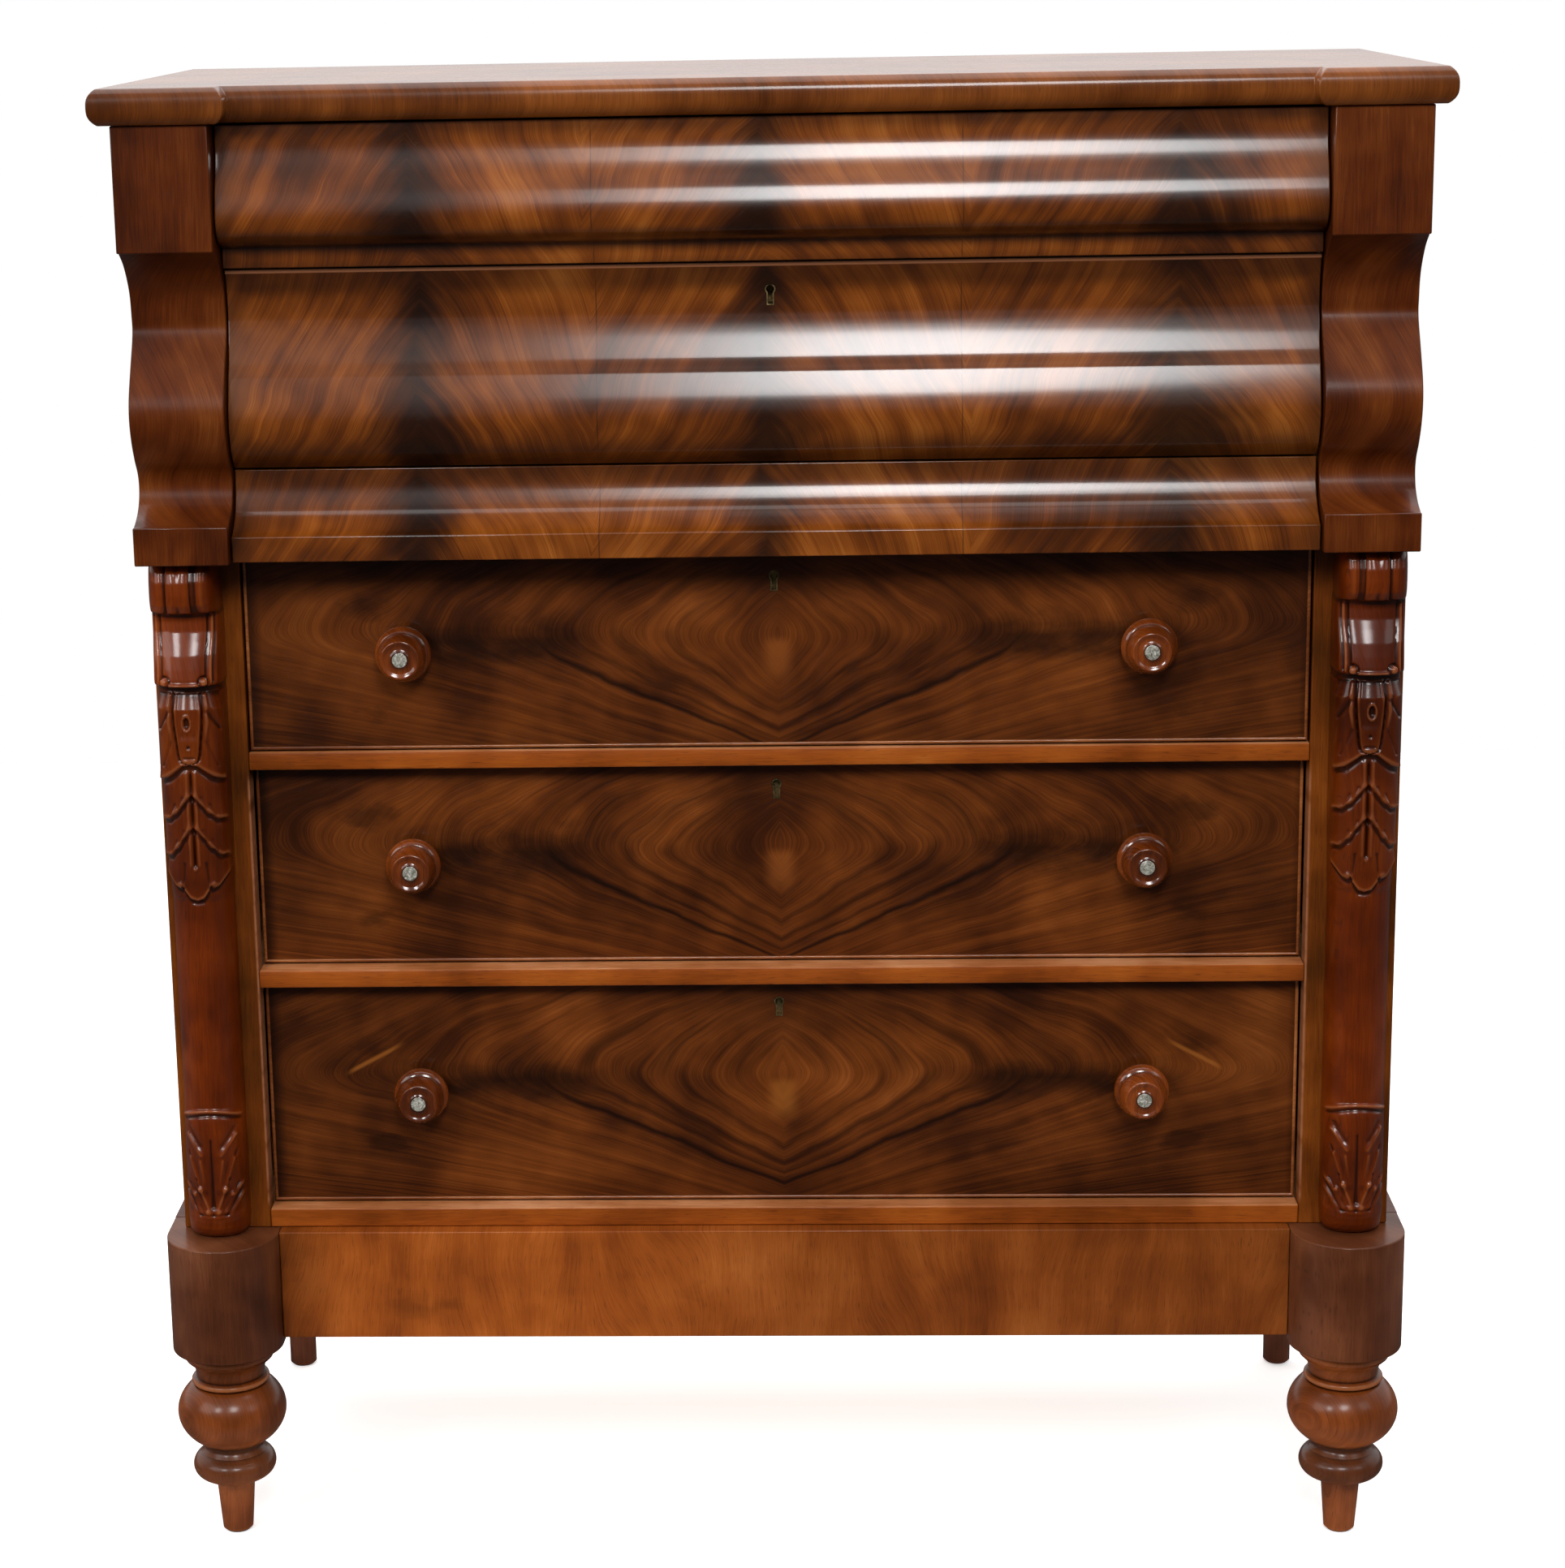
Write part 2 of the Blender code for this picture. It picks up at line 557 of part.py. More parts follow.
def front_foot_profile():
    """Collar, neck, bead, bun, waist, ring and tapered leg, from the top down."""
    top = FRONT_FOOT_HEIGHT - SEAT_GAP
    bead, bun, ring = top - FOOT_BEAD_DROP, top - FOOT_BUN_DROP, top - FOOT_RING_DROP
    neck_top = bead + 1.5 * FOOT_BEAD_RADIUS
    profile = [(0.0, top), (FOOT_COLLAR_RADIUS, top), (FOOT_COLLAR_RADIUS, top - FOOT_COLLAR_HEIGHT)]
    profile += arc((FOOT_COLLAR_RADIUS, neck_top), (FOOT_COLLAR_RADIUS - FOOT_NECK_RADIUS,
                   top - FOOT_COLLAR_HEIGHT - neck_top), 105, 180, 3)
    profile += arc((FOOT_NECK_RADIUS, bead), (FOOT_BEAD_RADIUS, FOOT_BEAD_RADIUS), 80, -80, 4)
    profile += arc((0.0, bun), (FOOT_BUN_RADIUS, FOOT_BUN_HALF_HEIGHT), 44, -57, 10)
    waist_top = ring + FOOT_RING_HALF_HEIGHT
    profile += [(FOOT_WAIST_RADIUS, waist_top + FOOT_BEAD_RADIUS), (FOOT_WAIST_RADIUS, waist_top)]
    ring_core = FOOT_RING_RADIUS - FOOT_RING_HALF_HEIGHT
    profile += arc((ring_core, ring), (FOOT_RING_HALF_HEIGHT, FOOT_RING_HALF_HEIGHT), 60, -65, 6)
    profile += [(FOOT_LEG_RADIUS, ring - FOOT_RING_HALF_HEIGHT), (FOOT_TIP_RADIUS, FOOT_TIP_CHAMFER)]
    return profile + [(FOOT_TIP_RADIUS - FOOT_TIP_CHAMFER, 0.0), (0.0, 0.0)]


def build_feet():
    """Turned front feet under the plinth blocks and plain tapered rear feet."""
    axis_x = CASE_SIDE + PLINTH_END_OVERHANG - PLINTH_BLOCK_RADIUS
    rear_x = CASE_SIDE - REAR_FOOT_INSET
    rear_top = PLINTH_TOP - PLINTH_BOARD_HEIGHT - SEAT_GAP
    rear_profile = [
        (0.0, rear_top), (REAR_FOOT_RADIUS, rear_top), (REAR_FOOT_TIP_RADIUS, FOOT_TIP_CHAMFER),
        (REAR_FOOT_TIP_RADIUS - FOOT_TIP_CHAMFER, 0.0), (0.0, 0.0),
    ]
    for side, sign in SIDE_SIGNS.items():
        turned("front_foot_" + side, front_foot_profile(), FRONT_FOOT_FACETS, FOOT_WOOD,
               (sign * axis_x, CASE_FRONT - PLINTH_AXIS_FORWARD, 0))
        turned("rear_foot_" + side, rear_profile, REAR_FOOT_FACETS, DARK_MAHOGANY,
               (sign * rear_x, CASE_BACK - REAR_BLOCK_DEPTH / 2, 0))


def build_trusses(floors, underside):
    """Ogee trusses in front of the stiles, beside the shaped drawers."""
    bottom = floors["shallow"] - RAIL_HEIGHT + TRUSS_LIFT
    base_top = bottom + TRUSS_BASE_HEIGHT
    cap_bottom = underside - TRUSS_CAP_HEIGHT
    back, front = CASE_FRONT - SEAT_GAP, CASE_FRONT
    outline = [(back, bottom), (back, underside - SEAT_GAP)]
    outline += [(front - TRUSS_CAP_FORWARD, underside - SEAT_GAP), (front - TRUSS_CAP_FORWARD, cap_bottom)]
    for forward, share in reversed(smooth_run(TRUSS_SWELL)):
        outline.append((front - forward, base_top + share * (cap_bottom - base_top)))
    outline += [(front - TRUSS_BASE_FORWARD, base_top), (front - TRUSS_BASE_FORWARD, bottom)]
    for side, sign in SIDE_SIGNS.items():
        middle = sign * (CASE_SIDE - TRUSS_WIDTH / 2)
        add_piece("truss_" + side, prism_mesh(outline, TRUSS_WIDTH, ALONG_X), DARK_MAHOGANY, (middle, 0, 0))
    return bottom


def pilaster_sections(height):
    """Rising sections: level, extra half-width and depth, squareness, count of reeds and their depth."""
    scroll = height - PILASTER_SCROLL_HEIGHT
    shield = scroll - PILASTER_SHIELD_HEIGHT
    leaf = shield - PILASTER_LEAF_HEIGHT
    fan, toe, edge = PILASTER_FAN_HEIGHT, PILASTER_TOE_HEIGHT, PILASTER_EDGE
    swell, square = PILASTER_SCROLL_DEPTH - PILASTER_SHAFT_DEPTH, PILASTER_SQUARENESS
    rib, reed, ribs, reeds = PILASTER_RIB_DEPTH, PILASTER_REED_DEPTH, PILASTER_RIBS, PILASTER_REEDS
    wide_leaf, wide_shield, wide_scroll = PILASTER_LEAF_SPREAD, PILASTER_SHIELD_SPREAD, PILASTER_SCROLL_SPREAD
    return (
        Section(0.0, -PILASTER_TOE_TAPER, -2 * PILASTER_TOE_TAPER, square, ribs, 0.0),
        Section(toe, 0.0, PILASTER_FAN_SWELL, square, ribs, 0.0),
        Section(2 * toe, 0.0, PILASTER_FAN_SWELL / 2, square, ribs, rib),
        Section(fan - 4 * edge, 0.0, PILASTER_FAN_SWELL, square / 2, ribs, rib),
        Section(fan - edge, 0.0, PILASTER_FAN_SWELL / 2, square / 4, ribs, rib),
        Section(fan, 0.0, 0.0, 0.0, ribs, 0.0),
        Section(leaf, 0.0, 0.0, 0.0, ribs, 0.0),
        Section(leaf + toe, 0.0, PILASTER_LEAF_SWELL / 2, square / 3, reeds, 0.0),
        Section(leaf + 3 * toe, wide_leaf / 2, PILASTER_LEAF_SWELL, 2 * square / 3, reeds, rib),
        Section(shield - 2 * toe, wide_leaf, PILASTER_LEAF_SWELL, square, reeds, rib),
        Section(shield - SEAT_GAP, wide_leaf, PILASTER_LEAF_SWELL / 2, square, reeds, 0.0),
        Section(shield, wide_shield, PILASTER_LIP_SWELL, square, reeds, 0.0),
        Section(shield + edge, wide_shield, PILASTER_SHIELD_SWELL, square, reeds, 0.0),
        Section(scroll - 2 * toe, wide_shield, PILASTER_SHIELD_WAIST, square, reeds, 0.0),
        Section(scroll - SEAT_GAP, wide_scroll, PILASTER_SHIELD_WAIST, square, reeds, 0.0),
        Section(scroll, wide_scroll, swell - edge / 2, square, reeds, reed),
        Section(scroll + edge, wide_scroll, swell, square, reeds, reed),
        Section(height - edge, wide_scroll, swell, square, reeds, reed),
        Section(height, wide_scroll, swell - edge, square, reeds, reed),
    )


def pilaster_mesh(height):
    """Loft between rounded sections that keep their width and change their depth."""
    rings = []
    for section in pilaster_sections(height):
        half, depth = PILASTER_WIDTH / 2 + section.spread, PILASTER_SHAFT_DEPTH + section.swell
        ring = []
        for step in range(PILASTER_STEPS + 1):
            turn = math.pi * step / PILASTER_STEPS
            groove = section.notch * (1.0 - abs(math.sin(section.reeds * turn))) ** 2 * math.sin(turn)
            out = (1.0 - groove) * max(math.sin(turn), 0.0) ** (1.0 - section.square)
            ring.append((-half * math.cos(turn), -depth * out, section.level))
        rings.append(ring)
    return stack_mesh(rings)


def build_pilasters(truss_bottom):
    """Carved pilasters on the stiles, from the plinth blocks up to the trusses."""
    low = PLINTH_TOP + SEAT_GAP
    for side, sign in SIDE_SIGNS.items():
        mesh = pilaster_mesh(truss_bottom - SEAT_GAP - low)
        mesh.shade_smooth()
        mesh.set_sharp_from_angle(angle=math.radians(40))
        add_piece("pilaster_" + side, mesh, DARK_MAHOGANY,
                  (sign * (CASE_SIDE - PILASTER_INSET), CASE_FRONT - SEAT_GAP, low))


def list_drawers(floors):
    """Every drawer, with the width that its stiles or trusses leave and the edges of its front."""
    long_half = OPENING_SIDE - SIDE_CLEARANCE
    shaped_half = TRUSS_INNER - SIDE_CLEARANCE
    heights = dict(OPENINGS)
    lip = (RAIL_HEIGHT - LIP_GAP) / 2
    recesses = {"lower": LOWER_RECESS, "middle": MIDDLE_RECESS, "upper": UPPER_RECESS}
    drawers = []
    for name, recess in recesses.items():
        drawers.append(Drawer(name, floors[name], heights[name], long_half,
                              CASE_FRONT + recess + FRONT_THICKNESS, -DRAWER_CLEARANCE, -DRAWER_CLEARANCE))
    lips = {"shallow": (lip, SKIRT_DROP), "hat": (lip, lip), "frieze": (-LIP_GAP, lip)}
    for name, (above, below) in lips.items():
        drawers.append(Drawer(name, floors[name], heights[name], shaped_half,
                              CASE_FRONT + TONGUE_DEPTH, above, below))
    return drawers


def long_front(drawer, parent):
    """Flat front with a raised bead round its edge."""
    low = (-drawer.half_width, drawer.front_back - FRONT_THICKNESS, drawer.floor - drawer.bottom_lip)
    high = (drawer.half_width, drawer.front_back, drawer.floor + drawer.height + drawer.top_lip)
    front = box(drawer.name + "_drawer_front", low, high, VENEER, parent)
    shape = bmesh.new()
    shape.from_mesh(front.data)
    faces = [face for face in shape.faces if face.normal.y < -0.5]
    bmesh.ops.inset_region(shape, faces=faces, thickness=BEAD_WIDTH, depth=-BEAD_RISE)
    shape.to_mesh(front.data)
    shape.free()
    return front


def shaped_outline(name):
    """Front edge of a shaped drawer as forward distance and share of height, from the bottom up."""
    if name == "frieze":
        return list(FRIEZE_BAND) + smooth_run(FRIEZE_SWELL)
    if name == "shallow":
        return list(SHALLOW_BAND) + smooth_run(SHALLOW_SWELL)
    return smooth_run(HAT_SWELL)


def shaped_front(drawer, parent):
    """Moulded front that laps over the rails, with a rebated back inside the opening."""
    low = drawer.floor - drawer.bottom_lip
    high = drawer.floor + drawer.height + drawer.top_lip
    face, rebate = CASE_FRONT, CASE_FRONT - SEAT_GAP
    tongue_low = drawer.floor + DRAWER_CLEARANCE
    tongue_high = drawer.floor + drawer.height - max(DRAWER_CLEARANCE, -drawer.top_lip)
    outline = [(face - forward, low + share * (high - low)) for forward, share in shaped_outline(drawer.name)]
    if drawer.top_lip > 0:
        outline += [(rebate, high), (rebate, tongue_high)]
    outline += [(drawer.front_back, tongue_high), (drawer.front_back, tongue_low)]
    outline += [(rebate, tongue_low), (rebate, low)]
    mesh = prism_mesh(outline, 2 * drawer.half_width, ALONG_X)
    return add_piece(drawer.name + "_drawer_front", mesh, VENEER, (0, 0, 0), parent)


def side_outline(sign, drawer):
    """Section of a drawer side, with the groove that holds the bottom."""
    outer = sign * drawer.half_width
    inner = sign * (drawer.half_width - BOX_SIDE_THICKNESS)
    groove = sign * (drawer.half_width - BOX_SIDE_THICKNESS + GROOVE_DEPTH)
    low, high = SEAT_GAP, drawer.height - 2 * DRAWER_CLEARANCE
    groove_low = BOX_BOTTOM_RISE - SEAT_GAP
    groove_high = BOX_BOTTOM_RISE + BOX_BOTTOM_THICKNESS + SEAT_GAP
    return [
        (outer, low), (outer, high), (inner, high), (inner, groove_high),
        (groove, groove_high), (groove, groove_low), (inner, groove_low), (inner, low),
    ]


def build_box(drawer, parent):
    """Frame of two sides and a back, and the bottom held in its grooves."""
    start = drawer.front_back + SEAT_GAP
    length = BOX_REAR - start
    middle = (start + BOX_REAR) / 2
    sides = []
    for sign in SIDE_SIGNS.values():
        sides.append((prism_mesh(side_outline(sign, drawer), length, ALONG_Y), (0, middle, drawer.floor)))
    frame = add_piece(drawer.name + "_drawer_frame", joined_mesh(sides), PINE, (0, 0, 0), parent)
    inner = drawer.half_width - BOX_SIDE_THICKNESS - SEAT_GAP
    panel = drawer.floor + BOX_BOTTOM_RISE
    panel_top = panel + BOX_BOTTOM_THICKNESS
    box(drawer.name + "_drawer_bottom", (-inner - GROOVE_DEPTH, start, panel),
        (inner + GROOVE_DEPTH, BOX_REAR, panel_top), PINE, parent)
    back_low = panel_top + SEAT_GAP
    back_high = drawer.floor + drawer.height - 2 * DRAWER_CLEARANCE - BOX_BACK_DROP
    back_size = (2 * drawer.half_width - BOX_SIDE_THICKNESS, BOX_BACK_THICKNESS, back_high - back_low)
    join(frame, "join_back_" + drawer.name, box_mesh(back_size),
         (0, BOX_REAR - BOX_BACK_INSET - BOX_BACK_THICKNESS / 2, (back_low + back_high) / 2))


def knob_profile():
    """Mushroom knob with a stepped face, from the middle of its face back to the drawer."""
    profile = [(0.0, KNOB_LENGTH), (PEARL_RADIUS, KNOB_LENGTH)]
    profile += [(PEARL_RADIUS + PEARL_GROOVE, KNOB_LENGTH - PEARL_GROOVE)]
    profile += [(PEARL_RADIUS + 2 * PEARL_GROOVE, KNOB_LENGTH)]
    profile += [(radius * KNOB_RADIUS, place * KNOB_LENGTH) for radius, place in KNOB_TURNING]
    profile += [(KNOB_NECK_RADIUS, KNOB_NECK_SHARE * KNOB_LENGTH), (KNOB_NECK_RADIUS, SEAT_GAP)]
    return profile + [(0.0, SEAT_GAP)]


def build_knobs(drawer, parent):
    """Two turned knobs on a long drawer."""
    face = drawer.front_back - FRONT_THICKNESS + BEAD_RISE
    height = drawer.floor + drawer.height / 2 + KNOB_LIFT
    for side, sign in SIDE_SIGNS.items():
        knob = turned(drawer.name + "_knob_" + side, knob_profile(), KNOB_FACETS, MAHOGANY,
                      (sign * (OPENING_SIDE - KNOB_INSET), face, height), parent)
        knob.rotation_euler = (math.pi / 2, 0, 0)


def keyhole_outline(radius, slot, height):
    """Round hole over a slot, centred on the whole height."""
    middle = height / 2 - radius
    start = math.degrees(math.acos(slot / 2 / radius))
    points = arc((0, middle), (radius, radius), -start, 180 + start, KEYHOLE_FACETS)
    return points + [(-slot / 2, -height / 2), (slot / 2, -height / 2)]


def bolt_middle(drawer):
    """Middle of the lock's thickness, in Y."""
    return drawer.front_back - LOCK_THICKNESS / 2


def keyhole_rim(extra):
    """Keyhole outline grown by an amount all round."""
    return keyhole_outline(KEYHOLE_RADIUS + extra, KEYHOLE_SLOT + 2 * extra, KEYHOLE_HEIGHT + 2 * extra)


def build_lock(drawer, front, keyhole_height, parent):
    """Lock let into the back of a front, with its bolt and the brass lining of the keyhole."""
    top = drawer.floor + drawer.height - DRAWER_CLEARANCE
    middle = bolt_middle(drawer)
    lock_front = middle - LOCK_THICKNESS / 2
    pocket = (LOCK_WIDTH + 2 * SEAT_GAP, LOCK_THICKNESS + 2 * SEAT_GAP, LOCK_HEIGHT + SEAT_GAP)
    cut(front, "cut_pocket_" + drawer.name, box_mesh((pocket[0], 2 * pocket[1], 2 * pocket[2])),
        (0, middle + pocket[1] / 2, top))
    face = lining_face(drawer, keyhole_height)
    reach = 2 * (lock_front - CASE_FRONT + TRUSS_CAP_FORWARD)
    cut(front, "cut_keyhole_" + drawer.name, prism_mesh(keyhole_rim(LINING_WALL + SEAT_GAP), reach, ALONG_Y),
        (0, middle - reach / 2, keyhole_height))
    lock = add_piece(drawer.name + "_drawer_lock", box_mesh((LOCK_WIDTH, LOCK_THICKNESS, LOCK_HEIGHT)),
                     BRASS, (0, middle, top - LOCK_HEIGHT / 2), parent)
    tube_end = lock_front + KEYHOLE_DEPTH / 2
    join(lock, "join_lining_" + drawer.name, prism_mesh(keyhole_rim(LINING_WALL), tube_end - face, ALONG_Y),
         (0, (face + tube_end) / 2, keyhole_height))
    hole_end = lock_front + KEYHOLE_DEPTH
    cut(lock, "cut_hole_" + drawer.name, prism_mesh(keyhole_rim(0.0), reach, ALONG_Y),
        (0, hole_end - reach / 2, keyhole_height))
    slot = (BOLT_WIDTH + 2 * BOLT_PLAY, BOLT_THICKNESS + 2 * BOLT_PLAY, 2 * (BOLT_HEIGHT + BOLT_PLAY))
    cut(lock, "cut_slot_" + drawer.name, box_mesh(slot), (0, middle, top))
    box(drawer.name + "_lock_bolt", (-BOLT_WIDTH / 2, middle - BOLT_THICKNESS / 2, top - BOLT_HEIGHT),
        (BOLT_WIDTH / 2, middle + BOLT_THICKNESS / 2, top), STEEL, parent)


def lining_face(drawer, height):
    """Where the front's face lies at a height, so that the keyhole lining sits flush."""
    if drawer.name != "hat":
        return drawer.front_back - FRONT_THICKNESS + BEAD_RISE
    low = drawer.floor - drawer.bottom_lip
    high = drawer.floor + drawer.height + drawer.top_lip
    share = (height - low) / (high - low)
    nearest = min(shaped_outline(drawer.name), key=lambda point: abs(point[1] - share))
    return CASE_FRONT - nearest[0] + LINING_RECESS


def cut_mortise(rail, drawer):
    """Mortise in the rail above a locked drawer, for its bolt."""
    depth = BOLT_TRAVEL
    size = (BOLT_WIDTH + 2 * BOLT_PLAY, BOLT_THICKNESS + 2 * BOLT_PLAY, 2 * depth)
    place = (0, bolt_middle(drawer), drawer.floor + drawer.height)
    cut(rail, "cut_mortise_" + drawer.name, box_mesh(size), place)


def build_drawers(floors, rail_above):
    """All the drawers, each on an empty that marks the line it slides along."""
    for drawer in list_drawers(floors):
        slide = bpy.data.objects.new(drawer.name + "_drawer_slide", None)
        slide.location = (0, CASE_FRONT, drawer.floor + drawer.height / 2)
        chest.objects.link(slide)
        long_drawer = drawer.half_width > TRUSS_INNER - SIDE_CLEARANCE
        front = long_front(drawer, slide) if long_drawer else shaped_front(drawer, slide)
        build_box(drawer, slide)
        if long_drawer:
            build_knobs(drawer, slide)
        if drawer.name in rail_above:
            drop = KEYHOLE_DROP if long_drawer else HAT_KEYHOLE_DROP
            build_lock(drawer, front, drawer.floor + drawer.height - drop, slide)
            cut_mortise(rail_above[drawer.name], drawer)


clear_scene()
chest = new_collection("scotch_chest")
cutters = new_collection("cutters")
opening_levels, slab_underside = opening_floors()
build_slab(slab_underside)
build_case(slab_underside)
case_rails = build_rails(opening_levels)
case_shelves = build_boards(opening_levels)
build_plinth()
build_feet()
lowest_truss = build_trusses(opening_levels, slab_underside)
build_pilasters(lowest_truss)
build_drawers(opening_levels, {
    "lower": case_rails["middle"],
    "middle": case_rails["upper"],
    "upper": case_shelves["shallow"],
    "hat": case_shelves["frieze"],
})
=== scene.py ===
"""Looks of a Scotch chest: veneers, turned and carved pieces, and the light of the photograph.

Metres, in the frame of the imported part. Every piece is built in place, so that a material's object
coordinates are the part's own coordinates at rest and the figure of the wood stays on the wood.
"""

import math
from functools import reduce

import bmesh
import bpy
import numpy as np
from mathutils import Matrix, Vector


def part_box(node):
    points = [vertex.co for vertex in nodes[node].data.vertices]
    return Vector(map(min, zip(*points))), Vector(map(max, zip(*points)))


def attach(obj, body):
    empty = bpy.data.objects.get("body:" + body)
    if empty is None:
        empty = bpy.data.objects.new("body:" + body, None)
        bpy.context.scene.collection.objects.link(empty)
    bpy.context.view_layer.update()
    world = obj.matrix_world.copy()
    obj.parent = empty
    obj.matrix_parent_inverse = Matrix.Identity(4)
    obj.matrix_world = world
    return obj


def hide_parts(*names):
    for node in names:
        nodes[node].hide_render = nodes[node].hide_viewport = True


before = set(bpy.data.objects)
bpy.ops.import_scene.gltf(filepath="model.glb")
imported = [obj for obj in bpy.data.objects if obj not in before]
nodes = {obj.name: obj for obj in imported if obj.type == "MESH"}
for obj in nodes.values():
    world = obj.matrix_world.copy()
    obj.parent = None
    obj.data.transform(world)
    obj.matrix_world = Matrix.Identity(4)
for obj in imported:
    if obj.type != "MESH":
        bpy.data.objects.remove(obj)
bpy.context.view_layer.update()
SIDES = {"left": -1, "right": 1}

# Places read from the frame

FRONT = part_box("stile_left")[0].y
OPENING_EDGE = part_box("stile_right")[0].x
SLAB_LOW, SLAB_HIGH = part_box("top_slab")
HAT_LOW, HAT_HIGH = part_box("hat_drawer_front")
FRIEZE_LOW, FRIEZE_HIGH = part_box("frieze_drawer_front")
PILASTER_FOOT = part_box("pilaster_left")[0].z
HAT_TOP = HAT_HIGH.z
BAND_TOP = FRIEZE_LOW.z + 0.145 * (FRIEZE_HIGH.z - FRIEZE_LOW.z)
WORN_LOW, WORN_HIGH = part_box("lower_drawer_front")[0].z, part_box("middle_drawer_front")[1].z

# Shaded folds across the shaped fronts: how far the shade fades, and its lower and upper end
FOLD_SHADES = (
    (0.030, HAT_LOW.z - 0.006, HAT_LOW.z + 0.006),
    (0.012, BAND_TOP - 0.001, BAND_TOP + 0.008),
    (0.014, FRIEZE_HIGH.z - 0.004, FRIEZE_HIGH.z + 0.01),
    (0.016, HAT_TOP - 0.016, HAT_TOP - 0.0045),
)

# Levels of the carving above the foot of a pilaster
SCROLL_LOW = 0.6392
SHIELD_LOW = 0.5680
LEAF_TOP = 0.5597
LEAF_LOW = 0.3520
FAN_TOP = 0.1351


# Node graphs

class Value:
    """A number that a node gives, with arithmetic that adds more nodes."""

    def __init__(self, graph, socket):
        self.graph = graph
        self.socket = socket

    def __add__(self, other):
        return self.graph.math("ADD", self, other)

    def __radd__(self, other):
        return self.graph.math("ADD", other, self)

    def __sub__(self, other):
        return self.graph.math("SUBTRACT", self, other)

    def __rsub__(self, other):
        return self.graph.math("SUBTRACT", other, self)

    def __mul__(self, other):
        return self.graph.math("MULTIPLY", self, other)

    def __truediv__(self, other):
        return self.graph.math("DIVIDE", self, other)

    def __pow__(self, other):
        return self.graph.math("POWER", self, other)

    def __abs__(self):
        return self.graph.math("ABSOLUTE", self)

    def step(self, start, end, full=1.0):
        """0 at start, full at end, smooth between; start may be the larger."""
        rising = start < end
        node = self.graph.new(
            "ShaderNodeMapRange", Value=self, From_Min=min(start, end), From_Max=max(start, end),
            To_Min=0.0 if rising else full, To_Max=full if rising else 0.0)
        node.interpolation_type = "SMOOTHSTEP"
        return Value(self.graph, node.outputs["Result"])

    def band(self, start, full, fade, end):
        """1 between full and fade, 0 before start and after end."""
        return self.step(start, full) * self.step(end, fade)


class Graph:
    """Short names for building the nodes of a material or a world."""

    def __init__(self, owner, coordinates="Object"):
        owner.use_nodes = True
        self.owner = owner
        self.tree = owner.node_tree
        self.x, self.y, self.z = self.split(self.new("ShaderNodeTexCoord").outputs[coordinates])
        self.here = self.point(self.x, self.y, self.z)

    def new(self, kind, **inputs):
        """A node with its inputs set or linked; an underscore in their names stands for a space."""
        node = self.tree.nodes.new(kind)
        self.fill(node, inputs)
        return node

    def fill(self, node, inputs):
        for name, value in inputs.items():
            self.put(value, node.inputs[name.replace("_", " ")])

    def put(self, value, socket):
        """Link a value or another socket to a socket, or set a number or a colour on it."""
        if isinstance(value, Value):
            value = value.socket
        if isinstance(value, bpy.types.NodeSocket):
            self.tree.links.new(value, socket)
        else:
            socket.default_value = value

    def shade(self, **inputs):
        """Set or link inputs of the surface shader."""
        self.fill(self.tree.nodes["Principled BSDF"], inputs)

    def math(self, operation, *values):
        node = self.new("ShaderNodeMath")
        node.operation = operation
        for value, socket in zip(values, node.inputs):
            self.put(value, socket)
        return Value(self, node.outputs[0])

    def most(self, *values):
        return reduce(lambda first, second: self.math("MAXIMUM", first, second), values)

    def least(self, *values):
        return reduce(lambda first, second: self.math("MINIMUM", first, second), values)

    def split(self, vector):
        node = self.new("ShaderNodeSeparateXYZ", Vector=vector)
        return [Value(self, output) for output in node.outputs]

    def point(self, *values):
        node = self.new("ShaderNodeCombineXYZ")
        for value, socket in zip(values, node.inputs):
            self.put(value, socket)
        return node.outputs[0]

    def noise(self, point, scale=1.0, detail=2.0, roughness=0.5, distortion=0.0):
        """Smooth noise, about 0.5 on average, at a point or at three coordinates."""
        if isinstance(point, tuple):
            point = self.point(*point)
        node = self.new("ShaderNodeTexNoise", Vector=point, Scale=scale, Detail=detail, Roughness=roughness,
                        Distortion=distortion)
        return Value(self, node.outputs[0])

    def ramp(self, value, stops):
        node = self.new("ShaderNodeValToRGB")
        self.put(value, node.inputs[0])
        elements = node.color_ramp.elements
        while len(elements) < len(stops):
            elements.new(0.5)
        for element, (place, colour) in zip(elements, stops):
            element.position = place
            element.color = (*colour, 1.0)
        return node.outputs[0]

    def mix(self, share, first, second):
        node = self.new("ShaderNodeMix")
        node.data_type = "RGBA"
        self.put(share, node.inputs[0])
        for value, socket in ((first, node.inputs[6]), (second, node.inputs[7])):
            self.put((*value, 1.0) if isinstance(value, tuple) else value, socket)
        return node.outputs[2]

    def bump(self, height, distance, strength):
        node = self.new("ShaderNodeBump", Height=height, Distance=distance, Strength=strength)
        self.shade(Normal=node.outputs[0])


def new_material(name):
    return Graph(bpy.data.materials.new(name))


def linear(red, green, blue):
    """A colour given as 0 to 255 screen values."""
    return tuple((value / 255) ** 2.2 for value in (red, green, blue))


# Woods. A figure gives the coordinate across the grain, the one along it, and how dark it is.

NEAR_BLACK = linear(21, 12, 8)
DARK = linear(44, 23, 13)
SALMON = linear(170, 110, 76)
DULL_GREY_BROWN = linear(46, 32, 26)
TONE_PLACES = (0.12, 0.36, 0.5, 0.64, 0.86)


def tones(*colours):
    """Five tones of a wood from its darkest streaks to its lightest."""
    return tuple(zip(TONE_PLACES, (linear(*colour) for colour in colours)))


